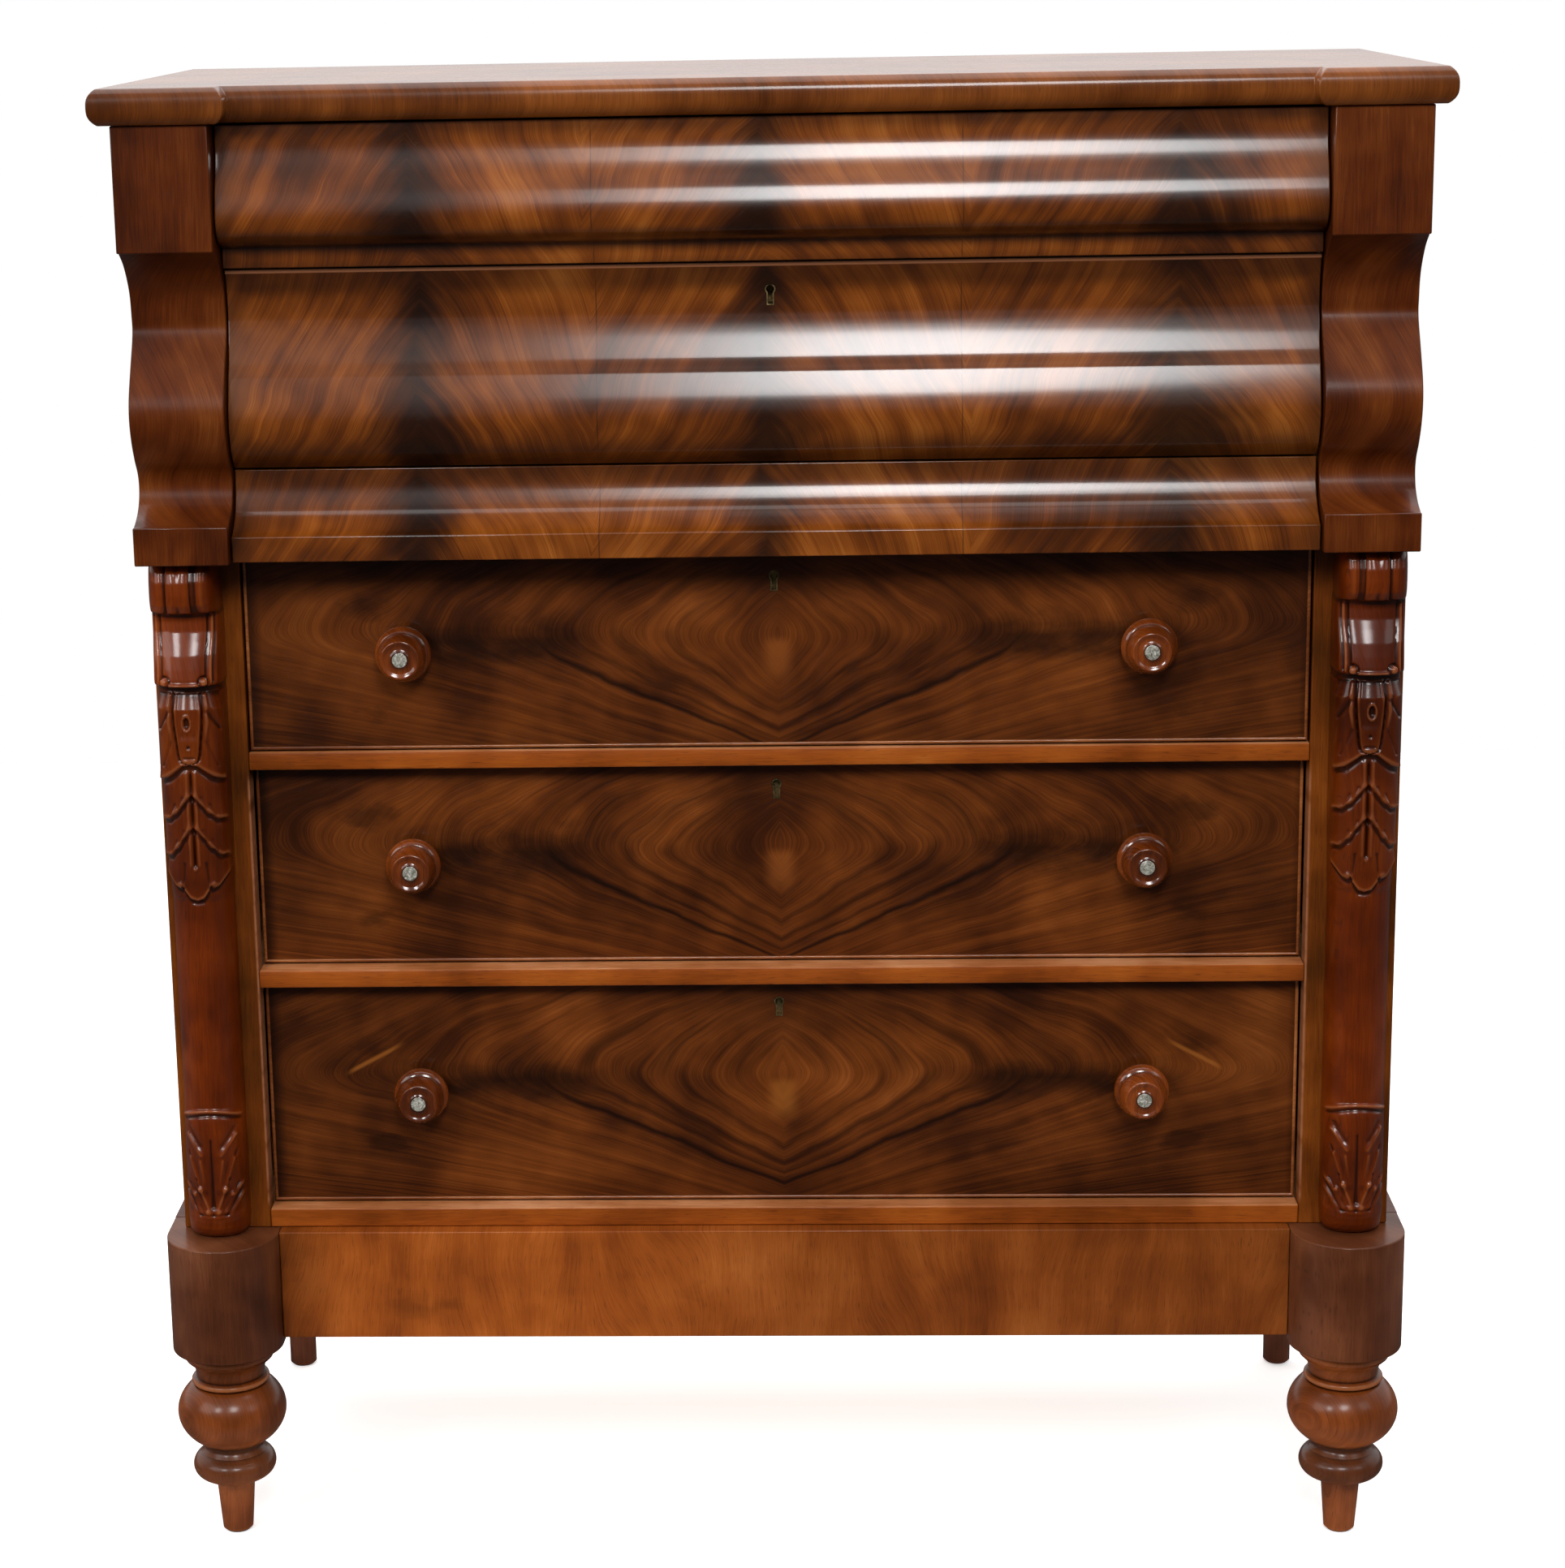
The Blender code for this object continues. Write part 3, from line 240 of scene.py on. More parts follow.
PLUME_TONES = tones((44, 23, 9), (76, 38, 12), (104, 53, 16), (132, 71, 24), (166, 99, 42))
FLAME_TONES = tones((38, 19, 10), (67, 34, 15), (95, 49, 20), (119, 63, 26), (152, 85, 39))
RED_TONES = tones((36, 16, 7), (62, 27, 10), (82, 36, 13), (100, 46, 17), (126, 62, 26))
CARVED_TONES = tones((52, 20, 5), (79, 31, 6), (101, 41, 8), (123, 53, 13), (156, 76, 22))
KNOB_TONES = tones((50, 23, 10), (85, 39, 15), (115, 55, 22), (143, 71, 30), (179, 97, 46))
STILE_TONES = tones((55, 29, 11), (83, 44, 15), (109, 56, 19), (131, 70, 25), (159, 92, 41))
RAIL_TONES = tones((86, 42, 14), (121, 60, 20), (146, 73, 26), (165, 86, 31), (193, 110, 48))
BOARD_TONES = tones((91, 44, 17), (129, 64, 25), (157, 81, 31), (180, 98, 42), (208, 124, 62))
EDGE_TONES = tones((52, 27, 10), (78, 40, 14), (101, 54, 21), (123, 68, 28), (151, 88, 40))
FOOT_TONES = tones((52, 25, 10), (87, 43, 17), (116, 59, 26), (146, 78, 38), (181, 108, 60))
BEAD_TONES = tones((70, 35, 14), (103, 54, 25), (132, 74, 37), (161, 98, 54), (197, 132, 82))
WORN_TONES = tones((130, 73, 37), (157, 93, 53), (182, 115, 71), (204, 139, 95), (231, 171, 125))
TRUSS_TONES = tones((40, 18, 7), (64, 29, 11), (84, 39, 14), (102, 51, 20), (130, 74, 34))
BLOCK_TONES = tones((42, 22, 14), (70, 38, 23), (89, 49, 30), (108, 63, 40), (136, 87, 60))
TOP_TONES = tones((84, 46, 30), (116, 68, 44), (138, 84, 55), (156, 98, 66), (178, 120, 86))

# Streaks of polished wood: fineness across and along the grain, shift of the pattern, and detail
STREAKS = ((34.0, 3.0, 0.0, 3.0), (170.0, 8.0, 3.0, 3.0), (700.0, 26.0, 7.0, 2.0))
CRISP_SHARES, SOFT_SHARES = (0.50, 0.34, 0.56), (0.62, 0.20, 0.42)


def polished(graph, across, along, dark, colours, gloss, streak, seed, coat, cloud=1.0, lighten=None,
             carved=False, soft=False, polish=0.14):
    """French-polished mahogany: streaks, open pores, dark figure, painted shade, dirt, wear and painted
    highlights.
    """
    level = 0.5
    for (fine, long, shift, detail), share in zip(STREAKS, SOFT_SHARES if soft else CRISP_SHARES):
        part = graph.noise((across * fine, along * long, seed + shift), detail=detail)
        level = level + (part - 0.5) * (share * streak)
    drift = graph.noise(graph.here, scale=7.0, detail=3.0, roughness=0.6)
    colour = graph.ramp(level + (drift - 0.5) * cloud, colours)
    pores = graph.noise((across * 1500.0, along * 60.0, seed + 11.0), detail=1.0)
    pore = pores.step(0.62, 0.70)
    colour = graph.mix(pore * 0.38, colour, DARK)
    colour = graph.mix(dark, colour, NEAR_BLACK)
    if carved:
        attribute = graph.new("ShaderNodeAttribute")
        attribute.attribute_name = "proud"
        proud = Value(graph, attribute.outputs["Fac"])
        # Painted shade and dirt in the hollows.
        colour = graph.mix(proud.step(0.48, 0.06) * 0.74, colour, NEAR_BLACK)
        # Painted highlight and wear on the ridges.
        colour = graph.mix(proud.step(0.58, 1.0) * 0.45, colour, colours[-1][1])
        colour = graph.mix(proud.step(0.74, 1.0) * 0.22, colour, SALMON)
    if lighten:
        colour = graph.mix(lighten[0], colour, lighten[1])
    grime = graph.noise(graph.here, scale=23.0, detail=4.0, roughness=0.65)
    graph.shade(Base_Color=colour, Roughness=gloss - 0.07 + grime * 0.14 + pore * 0.10,
                Specular_IOR_Level=0.14, Coat_Weight=coat, Coat_Roughness=polish)
    ripple = graph.noise(graph.here, scale=48.0, detail=2.0)
    graph.bump(ripple * 1.2 - pore * 0.6, 0.00010, 0.6)
    return graph.owner


def straight_grain(name, axis, colours, gloss, seed, streak, coat, lighten=None, **looks):
    """Plain timber whose grain runs along X or Z, drifting a little."""
    graph = new_material(name)
    x, y, z = graph.x, graph.y, graph.z
    along, one, two = (x, y, z) if axis == "X" else (z, x, y)
    wander = graph.noise((along * 2.2, one * 6.0, seed), detail=2.0)
    across = one + two * 0.83 + wander * 0.03
    extra = lighten(graph) if lighten else None
    return polished(graph, across, along, 0.0, colours, gloss, streak, seed, coat, lighten=extra, **looks)


def darker_foot_base(graph):
    """Darker, duller colour on the rings and legs, under the wide turning."""
    share = 0.22 + graph.z.step(0.058, 0.070) * 0.36
    return graph.z.step(0.110, 0.099) * share, DULL_GREY_BROWN


def darker_leaves(graph):
    """Darker colour over the leaves of the pilasters."""
    low, high = PILASTER_FOOT + LEAF_LOW, PILASTER_FOOT + LEAF_TOP
    return graph.z.band(low - 0.01, low + 0.02, high - 0.004, high) * 0.30, NEAR_BLACK


def worn_arris(graph):
    """Pale wear on the stiles' edges beside the two lower drawers."""
    edge = abs(abs(graph.x) - OPENING_EDGE)
    rub = graph.noise((0.0, 1.0, graph.z * 40.0), detail=3.0)
    beside = graph.z.band(WORN_LOW, WORN_LOW + 0.01, WORN_HIGH - 0.02, WORN_HIGH)
    return edge.step(0.0030, 0.0010) * 0.75 * beside * rub.step(0.25, 0.55), SALMON


# Dark upright veins of the plume veneer, with how wide each one's feather opens, and the seams
PLUME_AXES = ((-0.333, 0.9), (-0.008, 0.8), (0.376, 1.35))
PLUME_SEAMS = (-0.163, 0.178)


def plume_arcs(graph):
    """Distance from the nearest vein in feather widths, and the coordinate across the arcs."""
    x, z = graph.x, graph.z
    shifted = x + (graph.noise((0.0, 0.0, z * 9.0), detail=2.0) - 0.5) * 0.07
    gaps = [abs(shifted - axis) for axis, _ in PLUME_AXES]
    scaled = graph.least(*(gap * (1.0 / width) for gap, (_, width) in zip(gaps, PLUME_AXES)))
    warp = graph.noise((x * 4.0, 3.0, z * 5.0), detail=0.0)
    return scaled, z + (graph.least(*gaps) + 0.010) ** 1.35 * 3.1 + warp * 0.06


def plume_veneer():
    """Feather figure of the shaped fronts: arcs falling from dark upright veins, matched at the seams."""
    graph = new_material("plume_veneer")
    x, z = graph.x, graph.z
    scaled, across = plume_arcs(graph)
    ragged = graph.noise((across * 60.0, x * 9.0, 5.0), detail=4.0, roughness=0.6)
    blot = graph.noise((x * 8.0, 7.0, z * 13.0), detail=3.0)
    low_part = graph.most(0.0, *(z.band(low - 0.001, low, low, low + reach)
                                 for low, reach in ((HAT_LOW.z, 0.085), (FRIEZE_LOW.z, 0.07))))
    vein = (scaled - (ragged * 0.060 + blot * 0.070 + low_part * 0.022)).step(-0.008, -0.072)
    band = z.band(FRIEZE_LOW.z - 0.001, FRIEZE_LOW.z, BAND_TOP - 0.002, BAND_TOP)
    dark = vein * (0.86 - band * 0.80)
    # Painted shade along the folds of the mouldings; darker also towards the fronts' ends beside the trusses.
    for fold, low, high in FOLD_SHADES:
        shade = z.band(low - fold, low, high, high + fold)
        dark = graph.most(dark, shade * (0.10 + blot * 0.75))
    ends = [abs(x - end).step(0.030, 0.0) * 0.45 for end in (HAT_LOW.x, -HAT_LOW.x)]
    seams = [abs(x - seam).step(0.0009, 0.0003) * 0.5 for seam in PLUME_SEAMS]
    dark = graph.most(dark, *ends, *seams)
    worn = z.band(HAT_TOP - 0.0042, HAT_TOP - 0.0030, HAT_TOP, HAT_TOP + 0.001)
    return polished(graph, across, x, dark, PLUME_TONES, 0.30, 0.85, 1.0, 0.8, 1.1, (worn * 0.8, SALMON),
                    soft=True, polish=0.12)


# Crotch figure of the long drawers, from its centre
FLAME_CENTRE = 0.003
FLAME_LIFT = 0.008
DRAWER_HALF = 0.5125
# Veins as distance out, width and depth; knots as place, height and size
FLAME_VEINS = ((0.248, 0.020, 0.85), (0.200, 0.012, 0.45), (0.158, 0.018, 0.55), (0.110, 0.014, 0.45))
FLAME_KNOTS = ((0.408, 0.036, 0.032), (0.402, -0.062, 0.024), (0.0, 0.095, 0.115))


def flame_dark(graph, x, z, line, across, blot, seed):
    """Veins under the middle, plumes over it, a spine along mid-height, and knots."""
    below = z.step(0.030, 0.0)
    dark = graph.most(0.0, *(abs(line - place).step(width, 0.0) * depth * below
                             for place, width, depth in FLAME_VEINS))
    plume = graph.noise((across * 42.0, seed + 9.0, x * 6.0), detail=3.0)
    above = z.step(-0.010, 0.030) * x.step(0.34, 0.20)
    spine = (abs(z - 0.004) - blot * 0.062).step(0.004, -0.036)
    dark = graph.most(dark, plume.step(0.44, 0.74) * 0.60 * above,
                      spine * x.band(0.15, 0.22, 0.34, 0.43) * 0.80)
    for centre_x, centre_z, size in FLAME_KNOTS:
        gap_x, gap_z = x - centre_x, (z - centre_z) * 1.9
        gap = graph.math("SQRT", gap_x * gap_x + gap_z * gap_z)
        knot = (gap + (blot - 0.5) * 0.10).step(size * 1.25, 0.0)
        dark = graph.most(dark, knot * 0.62)
    return dark


def flame_veneer(name, middle, half_height, seed, cracks):
    """Crotch figure of a long drawer: arcs that meet at the centre line and run out along mid-height."""
    graph = new_material(name)
    x = abs(graph.x - FLAME_CENTRE)
    z = graph.z - (middle + FLAME_LIFT)
    wave = (graph.noise((x * 9.0, seed, z * 11.0), detail=1.5) - 0.5) * 0.07
    root = graph.math("SQRT", z * z + 0.00012)
    fall, rising = (root - z) * 0.5, (root + z) * 0.5
    arcs = (x + fall + rising * rising * 15.0) / (1.0 - fall * 5.3)
    across = arcs + wave
    swirl = (graph.noise((x * 24.0, seed + 4.0, z * 30.0), detail=2.0) - 0.5) * 0.030
    blot = graph.noise((x * 15.0, seed + 2.0, z * 28.0), detail=4.0, roughness=0.6)
    dark = flame_dark(graph, x, z, arcs + wave * 0.45 + swirl, across, blot, seed)
    # Painted shade along the front's edges, deeper along the top than the bottom, and towards its ends.
    edge = (half_height - abs(graph.z - middle)).step(0.030, 0.0)
    edge = edge * (0.35 + z.step(-0.012, 0.012) * 0.3)
    rim = graph.most(edge, (DRAWER_HALF - x).step(0.020, 0.0)) * 0.75
    dark = graph.most(dark, rim, x.step(0.30, 0.48) * 0.22)
    pale = x.step(0.020, 0.004) * z.band(-0.045, -0.020, -0.004, 0.008)
    lighten = (pale * 0.42, FLAME_TONES[-1][1])
    if cracks:
        split = z - (0.054 - (x - 0.36) * 0.56)
        near = abs(split + wave * 0.10).step(0.0040, 0.0004)
        crack = near * x.band(0.375, 0.395, 0.425, 0.440) * 0.55
        lighten = (graph.most(lighten[0], crack), PLUME_TONES[-1][1])
    return polished(graph, across, x, dark, FLAME_TONES, 0.34, 0.75, seed, 0.15, 0.95, lighten, soft=True)


def board_veneer():
    """Figured veneer of the plinth's board: upright streaks that lean this way and that."""
    graph = new_material("board_veneer")
    x, z = graph.x, graph.z
    lean = graph.noise((x * 5.0, 0.0, 2.0), detail=1.0) - 0.5
    warp = graph.noise((x * 7.0, 4.0, z * 8.0), detail=1.0)
    across = x + lean * (z - 0.26) * 3.0 + warp * 0.035
    blot = graph.noise((x * 9.0, 8.0, z * 22.0), detail=3.0)
    # Darker towards the ends beside the blocks; painted shade that deepens from left to right.
    ends = abs(x).step(0.43, 0.505) * (0.10 + blot * 0.75)
    shade = x.step(-0.25, 0.10) * 0.36 + x.step(0.10, 0.50) * 0.08
    dark = graph.most(ends, shade, blot.step(0.56, 0.74) * 0.35)
    return polished(graph, across, z, dark, BOARD_TONES, 0.36, 0.55, 39.0, 0.15, 0.75, soft=True)


PINE_TONES = ((0.36, linear(150, 106, 66)), (0.5, linear(172, 127, 83)), (0.64, linear(190, 147, 100)))
PINE_DIRT = linear(106, 72, 46)


def pine(name, upright=False):
    """Bare softwood inside the chest: growth lines, and a brown skin of age."""
    graph = new_material(name)
    facing = graph.split(graph.new("ShaderNodeNewGeometry").outputs["Normal"])
    side = abs(facing[0]).step(0.4, 0.6)
    along, one = graph.x + (graph.y - graph.x) * side, graph.z
    if upright:
        along, one = graph.z, graph.x
    wander = graph.noise((along * 1.8, one * 7.0, 1.0), detail=3.0)
    across = one + graph.y * 0.9 * (1.0 - side) + wander * 0.10
    ring = graph.noise((along * 1.2, across * 70.0, 5.0), detail=3.0, roughness=0.6)
    fine = graph.noise((along * 12.0, across * 500.0, 2.0), detail=3.0)
    level = ring * 0.6 + fine * 0.4
    dirt = graph.noise(graph.here, scale=6.0, detail=5.0, roughness=0.7)
    colour = graph.mix(dirt.step(0.48, 0.80) * 0.5, graph.ramp(level, PINE_TONES), PINE_DIRT)
    graph.shade(Base_Color=colour, Roughness=0.55 + fine * 0.25)
    graph.bump(level, 0.0002, 0.5)
    return graph.owner


def metal(name, stained, bare):
    """Old metal with stains and fine scratches."""
    graph = new_material(name)
    stain = graph.noise(graph.here, scale=180.0, detail=4.0, roughness=0.7)
    colour = graph.ramp(stain, ((0.35, stained), (0.65, bare)))
    graph.shade(Base_Color=colour, Roughness=0.35 + stain * 0.3, Metallic=1.0)
    graph.bump(stain, 0.0001, 0.4)
    return graph.owner


PEARL_TONES = ((0.32, linear(98, 98, 86)), (0.5, linear(160, 158, 146)), (0.7, linear(222, 218, 208)))
PEARL_CRACK = linear(60, 58, 48)


def pearl():
    """Mother of pearl: pale layered patches with grey-green cracks."""
    graph = new_material("mother_of_pearl")
    patch = graph.noise(graph.here, scale=260.0, detail=3.0, roughness=0.6, distortion=1.5)
    crack = abs(graph.noise(graph.here, scale=420.0, detail=2.0) - 0.5).step(0.035, 0.005)
    colour = graph.mix(crack * 0.7, graph.ramp(patch, PEARL_TONES), PEARL_CRACK)
    graph.shade(Base_Color=colour, Roughness=0.12 + patch * 0.25, Coat_Weight=0.6)
    graph.bump(patch, 0.00015, 0.5)
    return graph.owner


# Finishes. After the tones: gloss, seed of the pattern, strength of the streaks, and weight of the coat.

knob_wood = straight_grain("knob_mahogany", "Z", KNOB_TONES, 0.24, 21.0, 0.6, 1.0, carved=True, polish=0.09)
foot_wood = straight_grain("foot_mahogany", "Z", FOOT_TONES, 0.32, 23.0, 0.4, 0.35, darker_foot_base, carved=True,
                           polish=0.20)
carved_wood = straight_grain("carved_mahogany", "Z", CARVED_TONES, 0.30, 24.0, 0.45, 0.5, darker_leaves,
                             carved=True)
block_wood = straight_grain("block_mahogany", "Z", BLOCK_TONES, 0.36, 25.0, 0.5, 0.15, soft=True)
side_wood = straight_grain("side_mahogany", "Z", RED_TONES, 0.38, 27.0, 1.0, 0.15, cloud=0.45, soft=True)
stile_wood = straight_grain("stile_mahogany", "Z", STILE_TONES, 0.33, 29.0, 0.6, 0.12, worn_arris, soft=True)
truss_wood = straight_grain("truss_mahogany", "Z", TRUSS_TONES, 0.32, 31.0, 0.75, 0.25, soft=True)
rail_face_wood = straight_grain("rail_face_mahogany", "X", RAIL_TONES, 0.4, 33.0, 0.5, 0.1)
rail_top_wood = straight_grain("rail_top_mahogany", "X", WORN_TONES, 0.5, 35.0, 0.6, 0.0)
# The beads' tones are lighter than the fronts', partly as a painted highlight along them.
bead_wood = straight_grain("bead_mahogany", "X", BEAD_TONES, 0.28, 37.0, 0.6, 1.0)
top_wood = straight_grain("top_mahogany", "X", TOP_TONES, 0.28, 41.0, 0.8, 0.8, cloud=0.6)
edge_wood = straight_grain("edge_mahogany", "Z", EDGE_TONES, 0.3, 43.0, 0.45, 0.5, cloud=1.1)
board_wood = board_veneer()
shaped_veneer = plume_veneer()
pine_wood = pine("old_pine")
back_wood = pine("upright_pine", upright=True)
pearl_disc = pearl()
brass = metal("old_brass", linear(84, 70, 46), linear(150, 130, 92))
iron = metal("worn_iron", linear(70, 66, 60), linear(140, 136, 128))


# Meshes

def add_object(name, mesh, material, body, slot, replaced=()):
    """The makers of pieces below end with the same four: material, body, slot, which is not used, and nodes
    replaced.
    """
    piece = bpy.data.objects.new(name, mesh)
    bpy.context.scene.collection.objects.link(piece)
    mesh.materials.append(material)
    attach(piece, body)
    if replaced:
        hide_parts(*replaced)
    return piece


def smooth_but_sharp(mesh, sharp):
    mesh.shade_smooth()
    mesh.set_sharp_from_angle(angle=math.radians(sharp))


def to_mesh(name, shape):
    bmesh.ops.recalc_face_normals(shape, faces=shape.faces)
    mesh = bpy.data.meshes.new(name)
    shape.to_mesh(mesh)
    shape.free()
    return mesh


def add_piece(name, shape, sharp, *rest):
    mesh = to_mesh(name, shape)
    smooth_but_sharp(mesh, sharp)
    return add_object(name, mesh, *rest)


def join_rings(shape, rings, caps=True):
    """Faces between closed rings of vertices, and over the two ends."""
    sides = []
    for lower, upper in zip(rings, rings[1:]):
        for index in range(len(lower)):
            after = (index + 1) % len(lower)
            sides.append(shape.faces.new((lower[index], lower[after], upper[after], upper[index])))
    if caps:
        shape.faces.new(list(reversed(rings[0])))
        shape.faces.new(rings[-1])
    return sides


def soften(piece, width, angle=40.0):
    """Round the piece's arrises a little."""
    bevel = piece.modifiers.new("arris", "BEVEL")
    bevel.width = width
    bevel.segments = 2
    bevel.limit_method = "ANGLE"
    bevel.angle_limit = math.radians(angle)
    bevel.harden_normals = False


def box_shape(low, high):
    low, high = Vector(low), Vector(high)
    shape = bmesh.new()
    bmesh.ops.create_cube(shape, size=1.0)
    bmesh.ops.scale(shape, vec=high - low, verts=shape.verts)
    bmesh.ops.translate(shape, vec=(low + high) / 2, verts=shape.verts)
    return shape


def block(name, node_name, arris, material, body, slot, recess=0.0):
    """A squared piece of timber with eased arrises in place of a node, its front set back by the recess."""
    low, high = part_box(node_name)
    shape = box_shape((low.x, low.y + recess, low.z), high)
    piece = add_piece(name, shape, 38.0, material, body, slot, (node_name,))
    soften(piece, arris)
    return piece


def sweep(name, outline, low, high, axis, arris, *rest):
    """An outline drawn out between two places along X, or along Z for a plan."""
    shape = bmesh.new()
    spots = [[(place, *spot) if axis == "X" else (*spot, place) for spot in outline] for place in (low, high)]
    join_rings(shape, [[shape.verts.new(spot) for spot in ring] for ring in spots])
    piece = add_piece(name, shape, 38.0, *rest)
    soften(piece, arris)
    return piece


def proud_of(profile, window=0.005, full=0.0030):
    """How far each point of a half-section stands out of its surroundings: 0 in a groove, 1 on a ridge."""
    radii, heights = np.array(profile).T
    path = np.concatenate([[0.0], np.cumsum(np.hypot(np.diff(radii), np.diff(heights)))])
    shares = []
    for radius, place in zip(radii, path):
        around = np.interp(np.linspace(place - window, place + window, 21), path, radii)
        shares.append(float(np.clip(0.5 + (radius - around.mean()) / full, 0.0, 1.0)))
    return shares


def turned(name, profile, origin, direction, segments, *rest):
    """A turned piece: radius and distance along a direction from its origin."""
    shape = bmesh.new()
    layer = shape.verts.layers.float.new("proud")
    turn = Vector((0, 0, 1)).rotation_difference(Vector(direction)).to_matrix()
    rings = []
    for (radius, height), proud in zip(profile, proud_of(profile)):
        ring = []
        for index in range(segments):
            angle = 2 * math.pi * index / segments
            local = Vector((radius * math.cos(angle), radius * math.sin(angle), height))
            vert = shape.verts.new(turn @ local + Vector(origin))
            vert[layer] = proud
            ring.append(vert)
        rings.append(ring)
    join_rings(shape, rings)
    return add_piece(name, shape, 50.0, *rest)


def smooth_run(points, steps=6):
    """Points along a smooth curve through the given points."""
    padded = [points[0], *points, points[-1]]
    run = []
    for before, start, end, after in zip(padded, padded[1:], padded[2:], padded[3:]):
        for step in range(steps):
            share = step / steps
            run.append(tuple(
                0.5 * (2 * b + (c - a) * share + (2 * a - 5 * b + 4 * c - d) * share ** 2
                       + (3 * b - a - 3 * c + d) * share ** 3)
                for a, b, c, d in zip(before, start, end, after)))
    return run + [points[-1]]


def arc(centre, radii, start, end, steps):
    """Points along part of an ellipse, between two angles in degrees."""
    angles = [math.radians(start + (end - start) * step / steps) for step in range(steps + 1)]
    (x, y), (wide, tall) = centre, radii
    return [(x + wide * math.cos(angle), y + tall * math.sin(angle)) for angle in angles]


def carve(piece, shape, sharp):
    """Cut a closed form out of a piece, which keeps its arrises."""
    cutter = bpy.data.objects.new("cutter", to_mesh("cutter", shape))
    bpy.context.scene.collection.objects.link(cutter)
    modifier = piece.modifiers.new("cut", "BOOLEAN")
    modifier.object = cutter
    modifier.solver = "EXACT"
    cut = bpy.data.meshes.new_from_object(piece.evaluated_get(bpy.context.evaluated_depsgraph_get()))
    piece.modifiers.clear()
    cut.name = piece.data.name + "_cut"
    piece.data = cut
    bpy.data.objects.remove(cutter)
    smooth_but_sharp(cut, sharp)


# Outlines of the shaped pieces, within 1 mm of the part's: forward of the case, and share of the height

FRIEZE_BAND = ((0.0360, 0.0), (0.0365, 0.145))
FRIEZE_SWELL = (
    (0.0420, 0.155), (0.0530, 0.185), (0.0625, 0.235), (0.0668, 0.295), (0.0680, 0.365), (0.0664, 0.443),
    (0.0633, 0.520), (0.0591, 0.597), (0.0548, 0.674), (0.0513, 0.750), (0.0490, 0.826), (0.0484, 0.900),
    (0.0484, 1.0),
)
HAT_SWELL = (
    (0.0265, 0.0), (0.0365, 0.055), (0.0440, 0.130), (0.0475, 0.225), (0.0455, 0.310), (0.0385, 0.440),
    (0.0353, 0.480), (0.0306, 0.530), (0.0262, 0.600), (0.0231, 0.660), (0.0206, 0.720), (0.0197, 0.770),
    (0.0210, 0.870), (0.0285, 1.0),
)
SHALLOW_BAND = ((0.0620, 0.0), (0.0620, 0.290))
SHALLOW_SWELL = (
    (0.0595, 0.300), (0.0550, 0.330), (0.0490, 0.380), (0.0425, 0.440), (0.0368, 0.500), (0.0325, 0.560),
    (0.0292, 0.640), (0.0266, 0.720), (0.0250, 0.800), (0.0243, 0.900), (0.0241, 1.0),
)
TRUSS_SWELL = (
    (0.0660, 0.0), (0.0470, 0.032), (0.0345, 0.075), (0.0298, 0.130), (0.0335, 0.180),
    (0.0443, 0.233), (0.0553, 0.310), (0.0600, 0.390), (0.0560, 0.470), (0.0410, 0.570),
    (0.0222, 0.685), (0.0212, 0.750), (0.0262, 0.846), (0.0450, 0.940), (0.0680, 1.0),
)

# How far a truss's cap and base stand forward, and how high each is
TRUSS_CAP = (0.0755, 0.1165)
TRUSS_BASE = (0.0720, 0.0365)

# The shaped pieces stand this much clear of the case, and their tongues lie this far in from the edges
CLEAR = 0.0003
TONGUE_INSET = 0.0096
SHALLOW_TONGUE_LOW = 0.0130

# Rails with a mortise, and the bolt that rises into each
RAIL_BOLTS = {"upper_drawer_rail": "middle_lock_bolt", "middle_drawer_rail": "lower_lock_bolt"}
BOLT_TRAVEL, BOLT_PLAY = 0.0080, 0.0006

# A cut starts this far outside the wood
CUT_START = 0.01

# The slab: depth of its rounded edge, width of a corner block, how far the middle stands back, and rings
SLAB_NOSE = 0.0080
SLAB_CORNER = 0.1254
SLAB_BREAK = 0.0240
SLAB_STEPS = 14

KEYHOLE_RADIUS, KEYHOLE_SLOT, KEYHOLE_HALF_HEIGHT = 0.0053, 0.0036, 0.0103
KEYHOLE_DEPTH, HAT_KEYHOLE_DEPTH = 0.06, 0.09
KEYHOLE_DROP, HAT_KEYHOLE_DROP = 0.0269, 0.0214
BEAD_RECESS, BEAD_INSET, BEAD_HALF_WIDTH, BEAD_ROOT = 0.0016, 0.0018, 0.0016, 0.0006

# Widths of eased arrises, and how many sides a turned piece has
SLAB_ARRIS, SHAPED_ARRIS, PANEL_ARRIS = 0.0011, 0.0009, 0.0003
HEAVY_ARRIS, RAIL_ARRIS, STILE_ARRIS, SIDE_ARRIS = 0.0012, 0.0013, 0.0010, 0.0008
FINE_TURN, PLAIN_TURN = 64, 40


def keyhole_height(name):
    """Middle of a keyhole: below the top of its lock by the same drop as in the part."""
    drop = HAT_KEYHOLE_DROP if name == "hat" else KEYHOLE_DROP
    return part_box(name + "_drawer_lock")[1].z - drop


def cut_keyhole(piece, name, front, depth):
    """Keyhole through a front, wide enough for its brass lining."""
    radius, slot, half = KEYHOLE_RADIUS, KEYHOLE_SLOT, KEYHOLE_HALF_HEIGHT
    outline = arc((0, half - radius), (radius, radius), -47, 227, 20) + [(-slot, -half), (slot, -half)]
    middle = keyhole_height(name)
    shape = bmesh.new()
    rings = [[shape.verts.new((x, place, middle + z)) for x, z in outline]
             for place in (front - 2 * CUT_START, front + depth)]
    join_rings(shape, rings)
    carve(piece, shape, 18)


